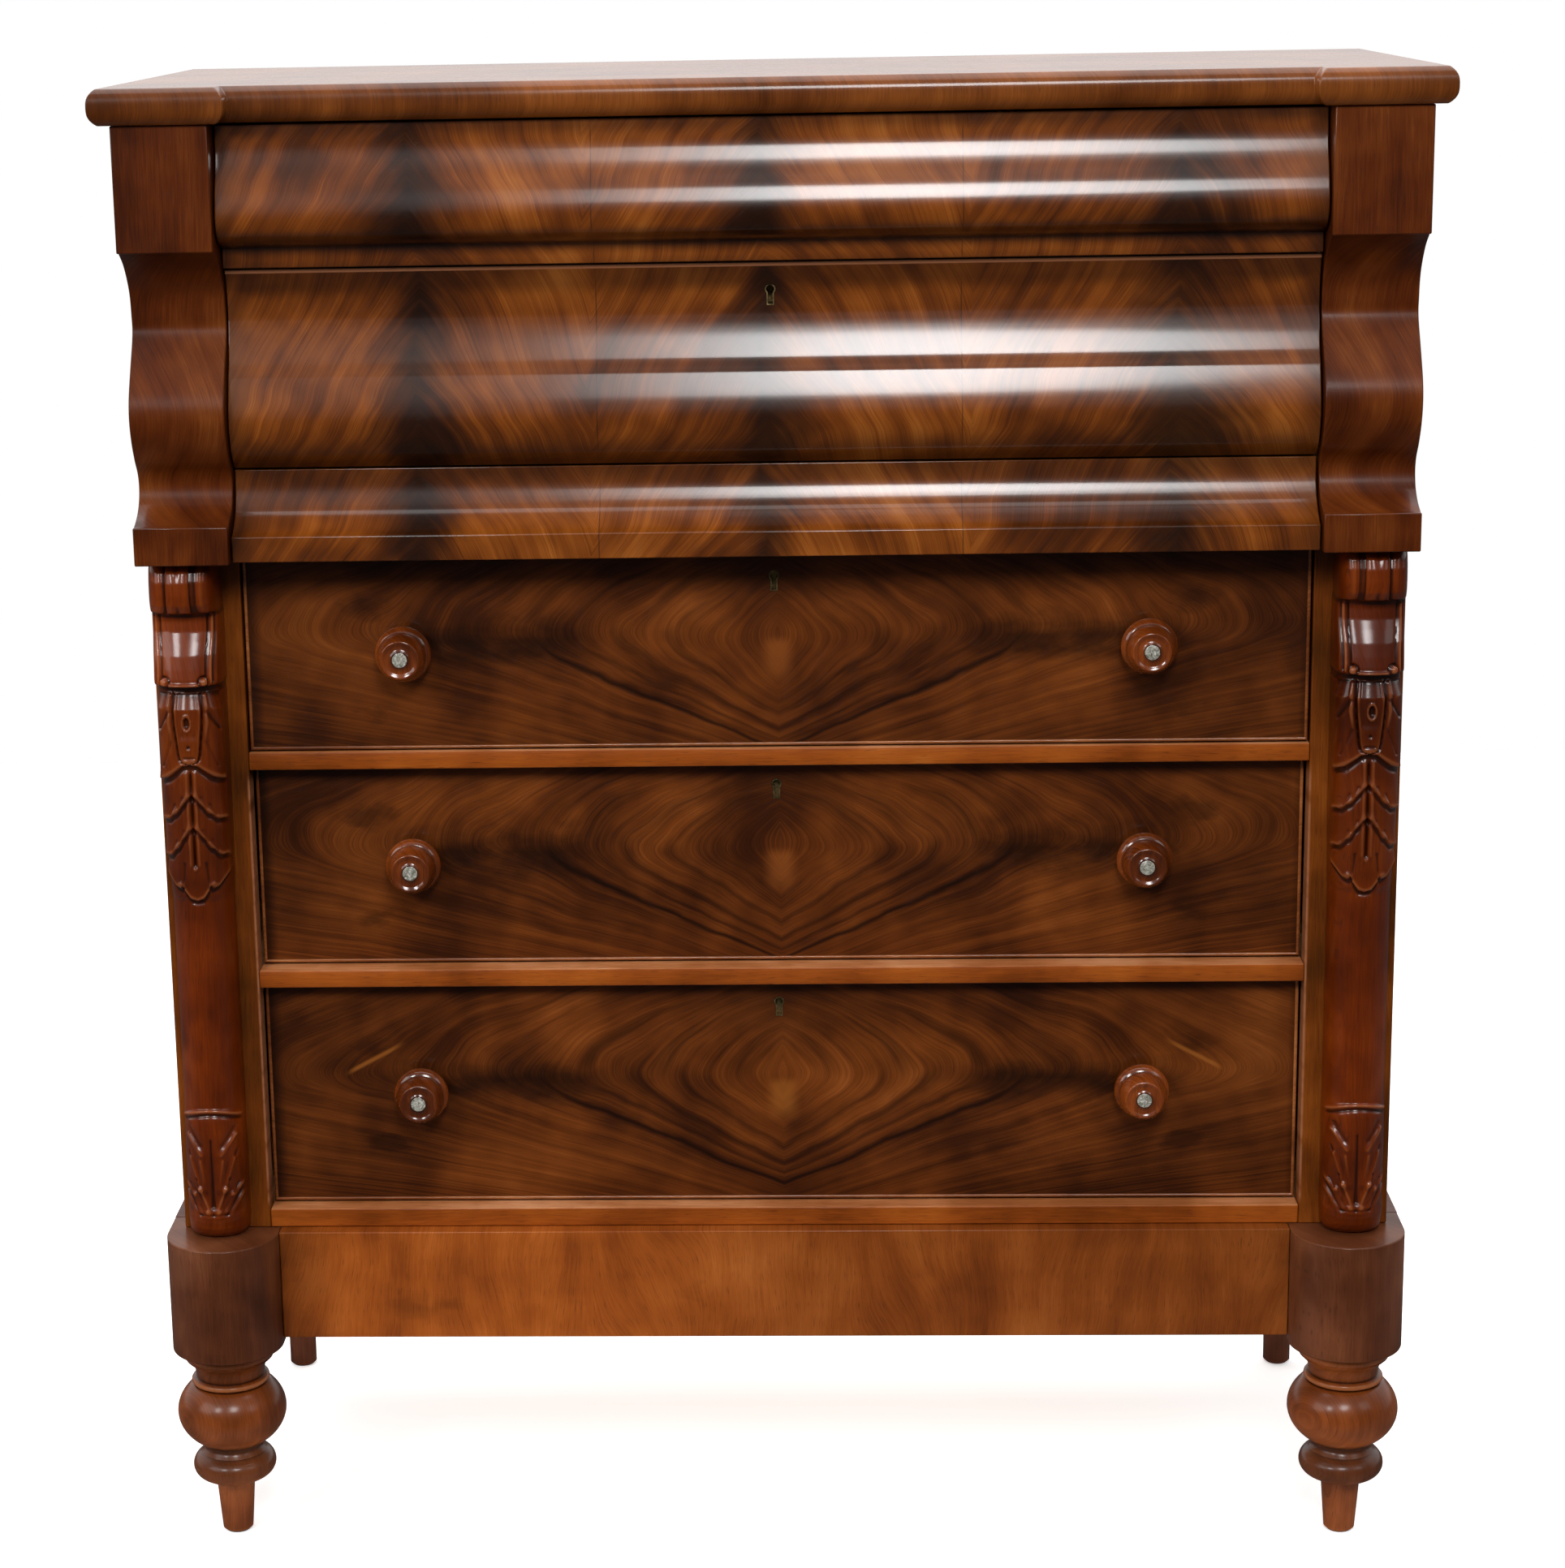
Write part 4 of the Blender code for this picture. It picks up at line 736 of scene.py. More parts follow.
def cut_mortise(rail, node_name, bolt):
    """Mortise in a rail's underside, for the bolt of the lock below it."""
    low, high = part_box(bolt)
    low = (low.x - BOLT_PLAY, low.y - BOLT_PLAY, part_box(node_name)[0].z - CUT_START)
    high = (high.x + BOLT_PLAY, high.y + BOLT_PLAY, high.z + BOLT_TRAVEL + BOLT_PLAY)
    carve(rail, box_shape(low, high), 50)


def build_top():
    """Breakfront top: boarded surface, and an edge faced with cross-grained veneer."""
    shape = bmesh.new()
    rings = []
    half_height = (SLAB_HIGH.z - SLAB_LOW.z) / 2
    middle = (SLAB_HIGH.z + SLAB_LOW.z) / 2
    for step in range(SLAB_STEPS + 1):
        share = 2 * step / SLAB_STEPS - 1
        inset = SLAB_NOSE * abs(share) ** 3
        half = SLAB_HIGH.x - inset
        inner = SLAB_HIGH.x - SLAB_CORNER + inset
        front = SLAB_LOW.y + inset
        right = [(inner, front + SLAB_BREAK), (inner, front), (half, front), (half, SLAB_HIGH.y)]
        plan = [(-x, y) for x, y in reversed(right)] + right
        rings.append([shape.verts.new((x, y, middle + share * half_height)) for x, y in plan])
    for number, face in enumerate(join_rings(shape, rings)):
        face.material_index = 0 if number % 8 == 7 else 1
    piece = add_piece("top_board", shape, 30.0, top_wood, "case", "case_mahogany", ("top_slab",))
    piece.data.materials.append(edge_wood)
    soften(piece, SLAB_ARRIS, 30.0)


def build_shaped_fronts():
    """Three moulded fronts between the trusses."""
    outlines = {
        "frieze": list(FRIEZE_BAND) + smooth_run(FRIEZE_SWELL),
        "hat": smooth_run(HAT_SWELL),
        "shallow": list(SHALLOW_BAND) + smooth_run(SHALLOW_SWELL),
    }
    back = FRONT - CLEAR
    for name, face in outlines.items():
        low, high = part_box(name + "_drawer_front")
        outline = [(FRONT - forward, low.z + share * (high.z - low.z)) for forward, share in face]
        tongue_low = low.z + (SHALLOW_TONGUE_LOW if name == "shallow" else TONGUE_INSET)
        tongue_high = high.z
        if name != "frieze":
            tongue_high = high.z - TONGUE_INSET
            outline += [(back, high.z), (back, tongue_high)]
        outline += [(high.y, tongue_high), (high.y, tongue_low), (back, tongue_low), (back, low.z)]
        piece = sweep(name + "_moulded_front", outline, low.x, high.x, "X", SHAPED_ARRIS, shaped_veneer,
                      name + "_drawer", "flame_veneer", (name + "_drawer_front",))
        if name == "hat":
            cut_keyhole(piece, name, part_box("hat_drawer_lock")[0].y, HAT_KEYHOLE_DEPTH)


def build_trusses():
    """Ogee trusses under the corners of the top."""
    for side in SIDES:
        low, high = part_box("truss_" + side)
        back, cap, base = FRONT - CLEAR, FRONT - TRUSS_CAP[0], FRONT - TRUSS_BASE[0]
        base_top, cap_low = low.z + TRUSS_BASE[1], high.z - TRUSS_CAP[1] + CLEAR
        swell = [(FRONT - forward, base_top + share * (cap_low - base_top))
                 for forward, share in reversed(smooth_run(TRUSS_SWELL))]
        outline = [(back, low.z), (back, high.z), (cap, high.z), (cap, cap_low), *swell, (base, base_top),
                   (base, low.z)]
        sweep("ogee_truss_" + side, outline, low.x, high.x, "X", HEAVY_ARRIS, truss_wood, "case",
              "carved_mahogany", ("truss_" + side,))


def build_bead(name, low, high):
    """Cocked bead round the edge of a long drawer's front."""
    shape = bmesh.new()
    section = [(BEAD_INSET + across, out) for across, out in
               arc((0.0, 0.0), (BEAD_HALF_WIDTH, BEAD_RECESS), 180, 360, 8)] + [(BEAD_INSET, BEAD_ROOT)]
    rings = []
    for x, z, turn_x, turn_z in ((low.x, low.z, 1, 1), (high.x, low.z, -1, 1), (high.x, high.z, -1, -1),
                                 (low.x, high.z, 1, -1)):
        rings.append([shape.verts.new((x + turn_x * reach, low.y + BEAD_RECESS + out, z + turn_z * reach))
                      for reach, out in section])
    join_rings(shape, rings + rings[:1], caps=False)
    add_piece(name + "_cocked_bead", shape, 38.0, bead_wood, name + "_drawer", "rail_mahogany")


def build_long_fronts():
    """Veneered fronts with a cocked bead round the edge."""
    for name, seed, cracks in (("upper", 1.0, False), ("middle", 1.6, False), ("lower", 2.3, True)):
        node_name = name + "_drawer_front"
        low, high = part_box(node_name)
        middle, half = (low.z + high.z) / 2, (high.z - low.z) / 2
        veneer = flame_veneer(name + "_flame_veneer", middle, half, seed, cracks)
        panel = block(name + "_front_panel", node_name, PANEL_ARRIS, veneer, name + "_drawer",
                      "flame_veneer", BEAD_RECESS)
        cut_keyhole(panel, name, low.y, KEYHOLE_DEPTH)
        build_bead(name, low, high)


def build_frame():
    """Stiles, rails, side panels, and the plinth's board and blocks."""
    for side in SIDES:
        block("front_stile_" + side, "stile_" + side, STILE_ARRIS, stile_wood, "case", "case_mahogany")
        block("case_side_" + side, "side_panel_" + side, SIDE_ARRIS, side_wood, "case", "case_mahogany")
        low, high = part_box("plinth_block_" + side)
        middle, radius = (low.x + high.x) / 2, (high.x - low.x) / 2
        plan = arc((middle, low.y + radius), (radius, radius), 180, 360, 40)
        plan += [(high.x, high.y), (low.x, high.y)]
        sweep("round_block_" + side, plan, low.z, high.z, "Z", HEAVY_ARRIS, block_wood, "case",
              "carved_mahogany", ("plinth_block_" + side,))
    for name in ("upper_drawer_rail", "middle_drawer_rail", "bottom_rail"):
        rail = block(name + "_faced", name, RAIL_ARRIS, rail_face_wood, "case", "rail_mahogany")
        rail.data.materials.append(rail_top_wood)
        for face in rail.data.polygons:
            face.material_index = 1 if face.normal.z > 0.9 else 0
        if name in RAIL_BOLTS:
            cut_mortise(rail, name, RAIL_BOLTS[name])
    block("figured_board", "plinth_board", HEAVY_ARRIS, board_wood, "case", "flame_veneer")


def foot_profile(top):
    """Half-section of a front foot, from the floor up."""
    points = [(0.0123, 0.0), (0.0153, 0.003)]
    points += smooth_run(((0.0153, 0.003), (0.0168, 0.022), (0.0196, 0.0593)), 5)
    points += arc((0.0284, top - 0.1273), (0.0135, 0.0135), -62, 62, 16)
    points += [(0.0330, top - 0.1138), (0.0320, top - 0.1130)]
    points += smooth_run(((0.0330, top - 0.1128), (0.0293, top - 0.1075), (0.0300, top - 0.1022)), 4)
    points += arc((0.0, top - 0.0683), (0.0548, 0.0420), -55, 44, 28)
    points += [(0.0372, top - 0.0388), (0.0352, top - 0.0380)]
    points += arc((0.0350, top - 0.0345), (0.0042, 0.0036), -80, 80, 8)
    points += [(0.0343, top - 0.0305)]
    points += arc((0.0455, top - 0.0285), (0.0110, 0.0160), 180, 108, 8)
    points += [(0.0428, top - 0.0120), (0.0442, top - 0.0112)]
    points += arc((0.0415, top - 0.0062), (0.0040, 0.0052), -60, 78, 8)
    points += [(0.0415, top - 0.0005), (0.0400, top)]
    return points


def rear_profile(top):
    return [(0.0118, 0.0), (0.0148, 0.003), (0.0150, 0.05), (0.0158, 0.13), (0.0165, top)]


def build_feet():
    feet = (("front_foot_", "turned_foot_", foot_profile, FINE_TURN, foot_wood),
            ("rear_foot_", "plain_foot_", rear_profile, PLAIN_TURN, block_wood))
    for side in SIDES:
        for node_name, name, profile, segments, wood in feet:
            low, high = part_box(node_name + side)
            centre = ((low.x + high.x) / 2, (low.y + high.y) / 2, 0.0)
            turned(name + side, profile(high.z), centre, (0, 0, 1), segments, wood, "case",
                   "turned_mahogany", (node_name + side,))


# Half-section of a knob from the drawer out to the edge of its pearl, and of the pearl's disc

KNOB_HEAD = ((0.0224, 0.0246), (0.0236, 0.0275), (0.0237, 0.0315), (0.0228, 0.0360), (0.0211, 0.0405),
             (0.0192, 0.0440), (0.0182, 0.0453))
KNOB_FACE = ((0.0172, 0.0455), (0.0158, 0.0449), (0.0135, 0.0439), (0.0105, 0.0443), (0.0085, 0.0454))
KNOB_PROFILE = [
    (0.0115, 0.0), (0.0115, 0.003), *smooth_run(((0.0118, 0.003), (0.0150, 0.0055), (0.0205, 0.0070)), 5),
    *arc((0.0190, 0.0150), (0.0084, 0.0082), -86, 68, 22), (0.0218, 0.0229), (0.0216, 0.0238),
    *smooth_run(KNOB_HEAD, 5), *smooth_run(KNOB_FACE, 4), (0.0076, 0.0455), (0.0073, 0.0446),
]
PEARL_PROFILE = [(0.0070, 0.0440), (0.0072, 0.0450), (0.0066, 0.0454), (0.0040, 0.0452), (0.0010, 0.0451)]


def build_knobs():
    for name in ("upper", "middle", "lower"):
        for side in SIDES:
            low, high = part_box(f"{name}_knob_{side}")
            origin = ((low.x + high.x) / 2, high.y, (low.z + high.z) / 2)
            turned(f"{name}_turned_knob_{side}", KNOB_PROFILE, origin, (0, -1, 0), FINE_TURN, knob_wood,
                   name + "_drawer", "turned_mahogany", (f"{name}_knob_{side}",))
            turned(f"{name}_pearl_{side}", PEARL_PROFILE, origin, (0, -1, 0), PLAIN_TURN, pearl_disc,
                   name + "_drawer", "pearl")


# Carved pilasters. Levels are above the foot of the pilaster, places are from its middle line.

CARVED_STEP, CARVED_COLUMNS = 0.0010, 104
PILASTER_SHAFT_DEPTH = 0.0340
PILASTER_BODY = (
    (0.0, -0.0085), (0.002, -0.0040), (0.006, 0.0004), (0.012, 0.0042), (0.020, 0.0064), (0.027, 0.0060),
    (0.036, 0.0042), (0.060, 0.0044), (0.090, 0.0056), (0.123, 0.0036), (0.134, 0.0012), (0.137, 0.0),
    (0.350, 0.0), (0.356, 0.0026), (0.374, 0.0050), (0.402, 0.0062), (0.450, 0.0072), (0.520, 0.0080),
    (0.553, 0.0076), (0.5590, 0.0076), (0.5605, 0.0040), (0.5662, 0.0040), (0.5685, 0.0210),
    (0.575, 0.0203), (0.585, 0.0180), (0.598, 0.0146), (0.610, 0.0098), (0.620, 0.0062), (0.630, 0.0046),
    (0.6375, 0.0050), (0.6400, 0.0195), (0.648, 0.0248), (0.658, 0.0266), (0.670, 0.0260), (0.680, 0.0228),
    (0.6892, 0.0140),
)
PILASTER_NARROWER = (
    (0.0, 0.0085), (0.006, 0.0048), (0.020, 0.0040), (0.350, 0.0040), (0.375, 0.0030), (0.430, 0.0022),
    (0.556, 0.0020), (0.5662, 0.0032), (0.5690, 0.0014), (0.634, 0.0014), (0.640, 0.0020), (0.6892, 0.0024),
)
SCROLL_REEDS = ((-1.06, -0.50), (-0.47, 0.40), (0.60, 1.04))
TONGUE_HALVES = ((0.4905, 0.0), (0.4916, 0.0048), (0.4940, 0.0072), (0.500, 0.0088), (0.512, 0.0101),
                 (0.531, 0.0120), (0.558, 0.0130))

# Lower edges of the leaflets: place from the middle line, and level
PETAL_EDGE = ((0.0, 0.4895), (0.007, 0.4885), (0.011, 0.4850), (0.020, 0.4770), (0.030, 0.4725),
              (0.034, 0.4715))
SECOND_EDGE = ((0.0, 0.4590), (0.004, 0.4560), (0.012, 0.4450), (0.020, 0.4370), (0.028, 0.4330),
               (0.034, 0.4325))
THIRD_EDGE = ((0.0, 0.4260), (0.004, 0.4240), (0.012, 0.4120), (0.020, 0.4010), (0.028, 0.3950),
              (0.034, 0.3940))
TIP_EDGE = ((0.0, 0.3520), (0.006, 0.3540), (0.011, 0.3615), (0.0125, 0.3680), (0.0150, 0.3640),
            (0.020, 0.3660), (0.026, 0.3740), (0.034, 0.3860))

PETAL_STROKES = (
    (0.0175, 0.5420, 0.0275, 0.5240, 0.0016, 0.0020), (0.0160, 0.5120, 0.0240, 0.4880, 0.0012, 0.0010),
)

# Blades of the fan: a start and an end as place and level, a width, and a height or depth
FAN_RIDGES = (
    (0.0045, 0.029, 0.0125, 0.054, 0.0026, 0.0024), (0.0125, 0.054, 0.0225, 0.085, 0.0018, 0.0018),
    (0.0072, 0.055, 0.0110, 0.084, 0.0022, 0.0014), (0.0100, 0.090, 0.0240, 0.109, 0.0017, 0.0013),
    (0.0105, 0.030, 0.0190, 0.048, 0.0022, 0.0016), (0.0190, 0.048, 0.0290, 0.058, 0.0018, 0.0014),
    (0.0160, 0.028, 0.0285, 0.047, 0.0018, 0.0013),
)
FAN_GROOVES = (
    (0.0, 0.036, 0.0, 0.105, 0.0013, 0.0016), (0.0078, 0.034, 0.0170, 0.064, 0.0012, 0.0013),
    (0.0170, 0.064, 0.0250, 0.092, 0.0011, 0.0011), (0.0090, 0.030, 0.0250, 0.0575, 0.0011, 0.0013),
    (0.0140, 0.027, 0.0290, 0.0520, 0.0011, 0.0013), (0.0125, 0.100, 0.0225, 0.116, 0.0026, 0.0012),
)


def rise(value, start, end):
    share = np.clip((value - start) / (end - start), 0.0, 1.0)
    return share * share * (3 - 2 * share)


def hump(value, width):
    return np.exp(-(value / width) ** 2)


def curve(table, value):
    return np.interp(value, *zip(*table))


def stroke(side, level, cut):
    """A straight ridge or groove between two points, given with its width and height."""
    x, z, end_x, end_z, width, height = cut
    run_x, run_z = end_x - x, end_z - z
    share = np.clip(((side - x) * run_x + (level - z) * run_z) / (run_x ** 2 + run_z ** 2), 0.0, 1.0)
    away = np.hypot(side - x - share * run_x, level - z - share * run_z)
    return height * hump(away, width * (1.75 - 0.70 * share))


def tile(above, height, fade):
    """A leaf that stands out most at its lower edge, with a cut under it."""
    fold = rise(above, -0.0012, 0.0016) * np.exp(-np.clip(above, 0.0, None) / fade)
    return height * fold - 0.0013 * hump(above + 0.0034, 0.0030)


def reed_relief(across, level):
    """Three reeds on the scroll, the middle one with a dip in it."""
    dome = np.zeros_like(across)
    for start, end in SCROLL_REEDS:
        place = (across - (start + end) / 2) / ((end - start) / 2)
        dome = np.where(np.abs(place) < 1, np.clip(1 - np.abs(place) ** 2.6, 0, 1) ** 0.5, dome)
    ends = rise(level, SCROLL_LOW + 0.014, SCROLL_LOW + 0.004) + rise(level, 0.672, 0.684)
    dome -= hump(across + 0.05, 0.10) * (0.10 + 0.22 * ends)
    return 0.0050 * (dome - 1) * rise(level, SCROLL_LOW - 0.001, SCROLL_LOW + 0.002)


def shield_relief(across, level):
    """Rims beside the shield, its dipping lower edge and the curls at the edge's ends."""
    side = np.abs(across)
    there = rise(level, SHIELD_LOW + 0.001, SHIELD_LOW + 0.005) * rise(level, SCROLL_LOW, SCROLL_LOW - 0.006)
    inner = 0.66 + 0.05 * rise(level, 0.585, 0.620)
    rims = -0.0024 * hump(side - inner, 0.034) + 0.0016 * hump(side - inner - 0.085, 0.040)
    rims += -0.0018 * hump(side - inner - 0.17, 0.026) + 0.0008 * hump(side - inner - 0.24, 0.030)
    curl = np.hypot((side - 0.57) * 0.0340, (level - SHIELD_LOW - 0.0052) * 0.9)
    boss = 0.0034 * rise(curl, 0.0044, 0.0016) - 0.0020 * hump(curl - 0.0046, 0.0009)
    lip = 0.0016 * hump(level - SHIELD_LOW - 0.0022, 0.0018) * rise(side, 0.60, 0.50)
    return there * rims + boss + lip


def tongue_relief(place, level, half, tongue):
    """Tongue with a sunk middle, a bar across its foot and an eyelet."""
    side = np.abs(place)
    relief = tongue * (0.0042 - 9.0 * side ** 2)
    inset = rise(half - side, 0.0020, 0.0040) * rise(level, 0.512, 0.520)
    relief -= 0.0013 * tongue * inset
    relief -= 0.0016 * tongue * hump(level - 0.4968, 0.0012) * rise(side, 0.0060, 0.0040)
    eyelet = np.hypot((place + 0.0009) / 0.0029, (level - 0.5310) / 0.0060)
    relief += 0.0011 * hump(eyelet - 1.30, 0.22) - 0.0032 * rise(eyelet, 1.05, 0.60)
    relief -= 0.0015 * rise(np.hypot(place / 0.0020, (level - 0.5075) / 0.0026), 1.1, 0.4)
    return relief


def add_petals(relief, side, level, half, beside, whole):
    """Two petals beside the tongue, with a rim along it and strokes across them."""
    above = level - curve(PETAL_EDGE, side)
    petal = rise(above, -0.0007, 0.0011) * whole
    relief += beside * petal * (0.0020 + 0.0014 * hump(side - 0.0215, 0.0070))
    relief += beside * tile(above, 0.0016, 0.009) * whole
    upper = rise(level, 0.505, 0.530) * whole
    relief += beside * upper * 0.0018 * hump(side - half - 0.0042, 0.0019)
    relief -= 0.34 * np.clip(level - 0.5440, 0.0, 0.0150) * whole
    relief -= beside * petal * 0.0022 * hump(side - half - 0.0010, 0.0011)
    for cut in PETAL_STROKES:
        relief -= stroke(side, level, cut)


def add_tiers(relief, side, level):
    """Leaflets falling in tiers from a middle vein, down to the tip."""
    for edge, height, scallop in ((SECOND_EDGE, 0.0036, 0.0008), (THIRD_EDGE, 0.0034, 0.0012)):
        above = level - curve(edge, side) - scallop * np.sin(side * 740.0) * rise(side, 0.006, 0.012)
        relief += tile(above, height, 0.0085)
        for foot in (0.013, 0.021):
            top = curve(edge, foot) + 0.013
            relief -= stroke(side, level, (foot - 0.004, top, foot, top - 0.011, 0.0010, 0.0010))
    vein = rise(level, 0.383, 0.390) * rise(level, 0.486, 0.478)
    relief += vein * (0.0010 * hump(side - 0.0042, 0.0018) - 0.0024 * hump(side, 0.0015))
    relief += 0.0014 * hump(np.hypot(side, level - 0.3845), 0.0022)
    relief += tile(level - curve(TIP_EDGE, side), 0.0030, 0.012)
    relief += 0.0014 * hump(np.hypot(side - 0.0150, level - 0.3690), 0.0030)
    relief -= stroke(side, level, (0.0110, 0.3900, 0.0125, 0.3700, 0.0012, 0.0013))


def leaf_relief(place, level):
    """Tongue between two petals, then leaflets in tiers."""
    side = np.abs(place)
    half = curve(TONGUE_HALVES, level)
    whole = rise(level, LEAF_TOP + 0.001, LEAF_TOP - 0.001)
    tongue = rise(half - side, -0.0004, 0.0012) * rise(level, 0.4903, 0.4922) * whole
    relief = tongue_relief(place, level, half, tongue)
    add_petals(relief, side, level, half, 1 - tongue, whole)
    add_tiers(relief, side, level)
    return relief * rise(level, LEAF_LOW - 0.007, LEAF_LOW - 0.003) * rise(level, SHIELD_LOW, LEAF_TOP)


def fan_relief(place, level):
    """Fan of blades from one root, under an arched edge."""
    side = np.abs(place)
    arch = FAN_TOP - 9.5 * side ** 2
    relief = 0.0015 * hump(level - arch, 0.0016) - 0.0017 * hump(level - arch + 0.0040, 0.0020)
    relief -= 0.0008 * rise(arch - level, 0.002, 0.006) * rise(level, 0.024, 0.030)
    relief -= 0.0014 * hump(level - 0.0275, 0.0016) * rise(side, 0.020, 0.012)
    for ridge in FAN_RIDGES:
        relief += 1.2 * stroke(side, level, ridge)
    for groove in FAN_GROOVES:
        relief -= stroke(side, level, groove)
    return relief * rise(level, FAN_TOP + 0.006, FAN_TOP + 0.003) * rise(level, 0.018, 0.024)


def pilaster_levels(height):
    """Levels of the mesh: close together in the carving, a few along the plain shaft."""
    low = np.arange(0.0, FAN_TOP + 0.006, CARVED_STEP)
    plain = np.linspace(FAN_TOP + 0.012, LEAF_LOW - 0.012, 9)
    high = np.arange(LEAF_LOW - 0.008, height, CARVED_STEP)
    return np.concatenate([low, plain, high, [height]])


def mean_of_neighbours(field, rounds):
    roll = np.roll
    for _ in range(rounds):
        field = (roll(field, 1, 0) + roll(field, -1, 0) + roll(field, 1, 1) + roll(field, -1, 1)) / 4
    return field


def eased(column):
    """A run of depths with its corners taken off."""
    return np.convolve(np.pad(column, 1, mode="edge"), (0.25, 0.5, 0.25), "valid")


def squareness(level):
    """Power that turns the round section into a squarer one; less than 1 is squarer."""
    square = 1.0 - 0.42 * rise(level, LEAF_LOW - 0.01, LEAF_LOW + 0.10)
    square -= 0.16 * rise(level, 0.556, 0.572) + 0.10 * rise(level, 0.632, 0.642)
    return square - 0.25 * rise(level, FAN_TOP + 0.02, FAN_TOP - 0.05)


def pilaster_grid(height, half):
    """Places across, depths and how proud the surface stands, in rows from the foot up."""
    levels = pilaster_levels(height)
    turn, level = np.meshgrid(np.linspace(0.0, math.pi, CARVED_COLUMNS + 1), levels)
    across = -np.cos(turn)
    wide = half - curve(PILASTER_NARROWER, level)
    depth = np.apply_along_axis(eased, 0, PILASTER_SHAFT_DEPTH + curve(PILASTER_BODY, level))
    relief = reed_relief(across, level) + shield_relief(across, level)
    relief += leaf_relief(across * wide, level) + fan_relief(across * wide, level)
    relief *= rise(np.abs(across), 1.0, 0.88)
    normal_x, normal_y = across / wide, -np.sin(turn) / depth
    length = np.hypot(normal_x, normal_y)
    x = wide * across + relief * normal_x / length
    y = -depth * np.sin(turn) ** squareness(level) + relief * normal_y / length
    y[:, 0] = y[:, -1] = 0.0
    # Painted shadow in the bands under the shield's lip and under the scroll.
    shade = 0.5 * rise(level, 0.5592, 0.5602) * rise(level, 0.5690, 0.5672)
    shade += 0.4 * rise(level, 0.6330, 0.6345) * rise(level, 0.6410, 0.6395)
    proud = 0.5 - shade + (relief - mean_of_neighbours(relief, 24)) / 0.0024
    return levels, x, y, np.clip(proud, 0.0, 1.0)


def build_pilasters():
    """Pilasters carved in the mesh; how proud each place stands is kept as an attribute for painted shade and
    highlight.
    """
    for side, sign in SIDES.items():
        low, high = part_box("pilaster_" + side)
        middle = (low.x + high.x) / 2
        levels, x, y, proud = pilaster_grid(high.z - low.z, (high.x - low.x) / 2)
        shape = bmesh.new()
        layer = shape.verts.layers.float.new("proud")
        rings = []
        for level, *row in zip(levels, x, y, proud):
            ring = []
            for across, out, share in zip(*row):
                vert = shape.verts.new((middle - sign * across, high.y + out, low.z + level))
                vert[layer] = share
                ring.append(vert)
            rings.append(ring)
        join_rings(shape, rings)
        add_piece("carved_pilaster_" + side, shape, 75.0, carved_wood, "case", "carved_mahogany",
                  ("pilaster_" + side,))


def finish_of(name):
    """Finish of a solid that is kept as it is."""
    if name.endswith("_lock"):
        return brass
    if name.endswith("_bolt"):
        return iron
    if name.startswith("plinth_return"):
        return side_wood
    return back_wood if name == "back_panel" else pine_wood


build_top()
build_shaped_fronts()
build_trusses()
build_long_fronts()
build_frame()
build_feet()
build_knobs()
build_pilasters()

for node_name, node in nodes.items():
    if not node.hide_render:
        node.data.materials.clear()
        node.data.materials.append(finish_of(node_name))


# Floor, light and camera

WHITE = (1.0, 1.0, 1.0, 1.0)
FLOOR_LEFT, FLOOR_RIGHT, FLOOR_FRONT, FLOOR_BACK = -2.6, 2.6, -0.45, 3.2
FLOOR_TONES = ((0.3, linear(246, 246, 246)), (0.7, linear(251, 251, 251)))
FLOOR_GLOW, FLOOR_GLOW_STRENGTH = (0.96, 0.985, 1.0, 1.0), 0.44
ROOM_DIM, ROOM_BEHIND, ROOM_ABOVE = 0.07, 0.95, 0.42
WINDOW_LIGHT = 25.0
WINDOW_TOP = 3.935
WINDOW_WALL = -3.9

# Strips of the window: left, right, share of its light, and lower edge
WINDOW_STRIPS = (
    (-0.48, -0.30, 0.14, 2.785), (-0.30, -0.14, 0.38, 2.785), (-0.14, 0.02, 0.68, 2.785),
    (0.02, 0.45, 1.0, 2.785), (0.45, 0.70, 0.85, 2.86), (0.70, 0.90, 0.60, 2.98), (0.90, 1.10, 0.40, 3.10),
)
CAMERA_PLACE = (0.0362, -3.3879, 1.5711)
CAMERA_YAW, CAMERA_PITCH, CAMERA_ROLL = 2.392, 13.347, -1.090
FOCAL_PIXELS = 4198.3
IMAGE_SIZE = (1928, 1932)
OPTICAL_CENTRE = (831.3, 930.9)
SENSOR_WIDTH = 36.0


def area_light(name, place, target, size, power):
    light = bpy.data.lights.new(name, "AREA")
    light.shape = "RECTANGLE"
    light.size, light.size_y = size
    light.energy = power
    lamp = bpy.data.objects.new(name, light)
    lamp.location = place
    lamp.rotation_euler = (Vector(target) - Vector(place)).to_track_quat("-Z", "Y").to_euler()
    bpy.context.scene.collection.objects.link(lamp)


def build_floor():
    mesh = bpy.data.meshes.new("floor")
    corners = [(x, y, 0) for x, y in ((FLOOR_LEFT, FLOOR_FRONT), (FLOOR_RIGHT, FLOOR_FRONT),
                                      (FLOOR_RIGHT, FLOOR_BACK), (FLOOR_LEFT, FLOOR_BACK))]
    mesh.from_pydata(corners, [], [(0, 1, 2, 3)])
    floor = bpy.data.objects.new("floor", mesh)
    bpy.context.scene.collection.objects.link(floor)
    graph = new_material("pale_floor")
    tint = graph.noise(graph.here, scale=3.0, detail=3.0)
    graph.shade(Base_Color=graph.ramp(tint, FLOOR_TONES), Roughness=0.9, Specular_IOR_Level=0.0,
                Emission_Color=FLOOR_GLOW, Emission_Strength=FLOOR_GLOW_STRENGTH)
    mesh.materials.append(graph.owner)
    floor.visible_glossy = False


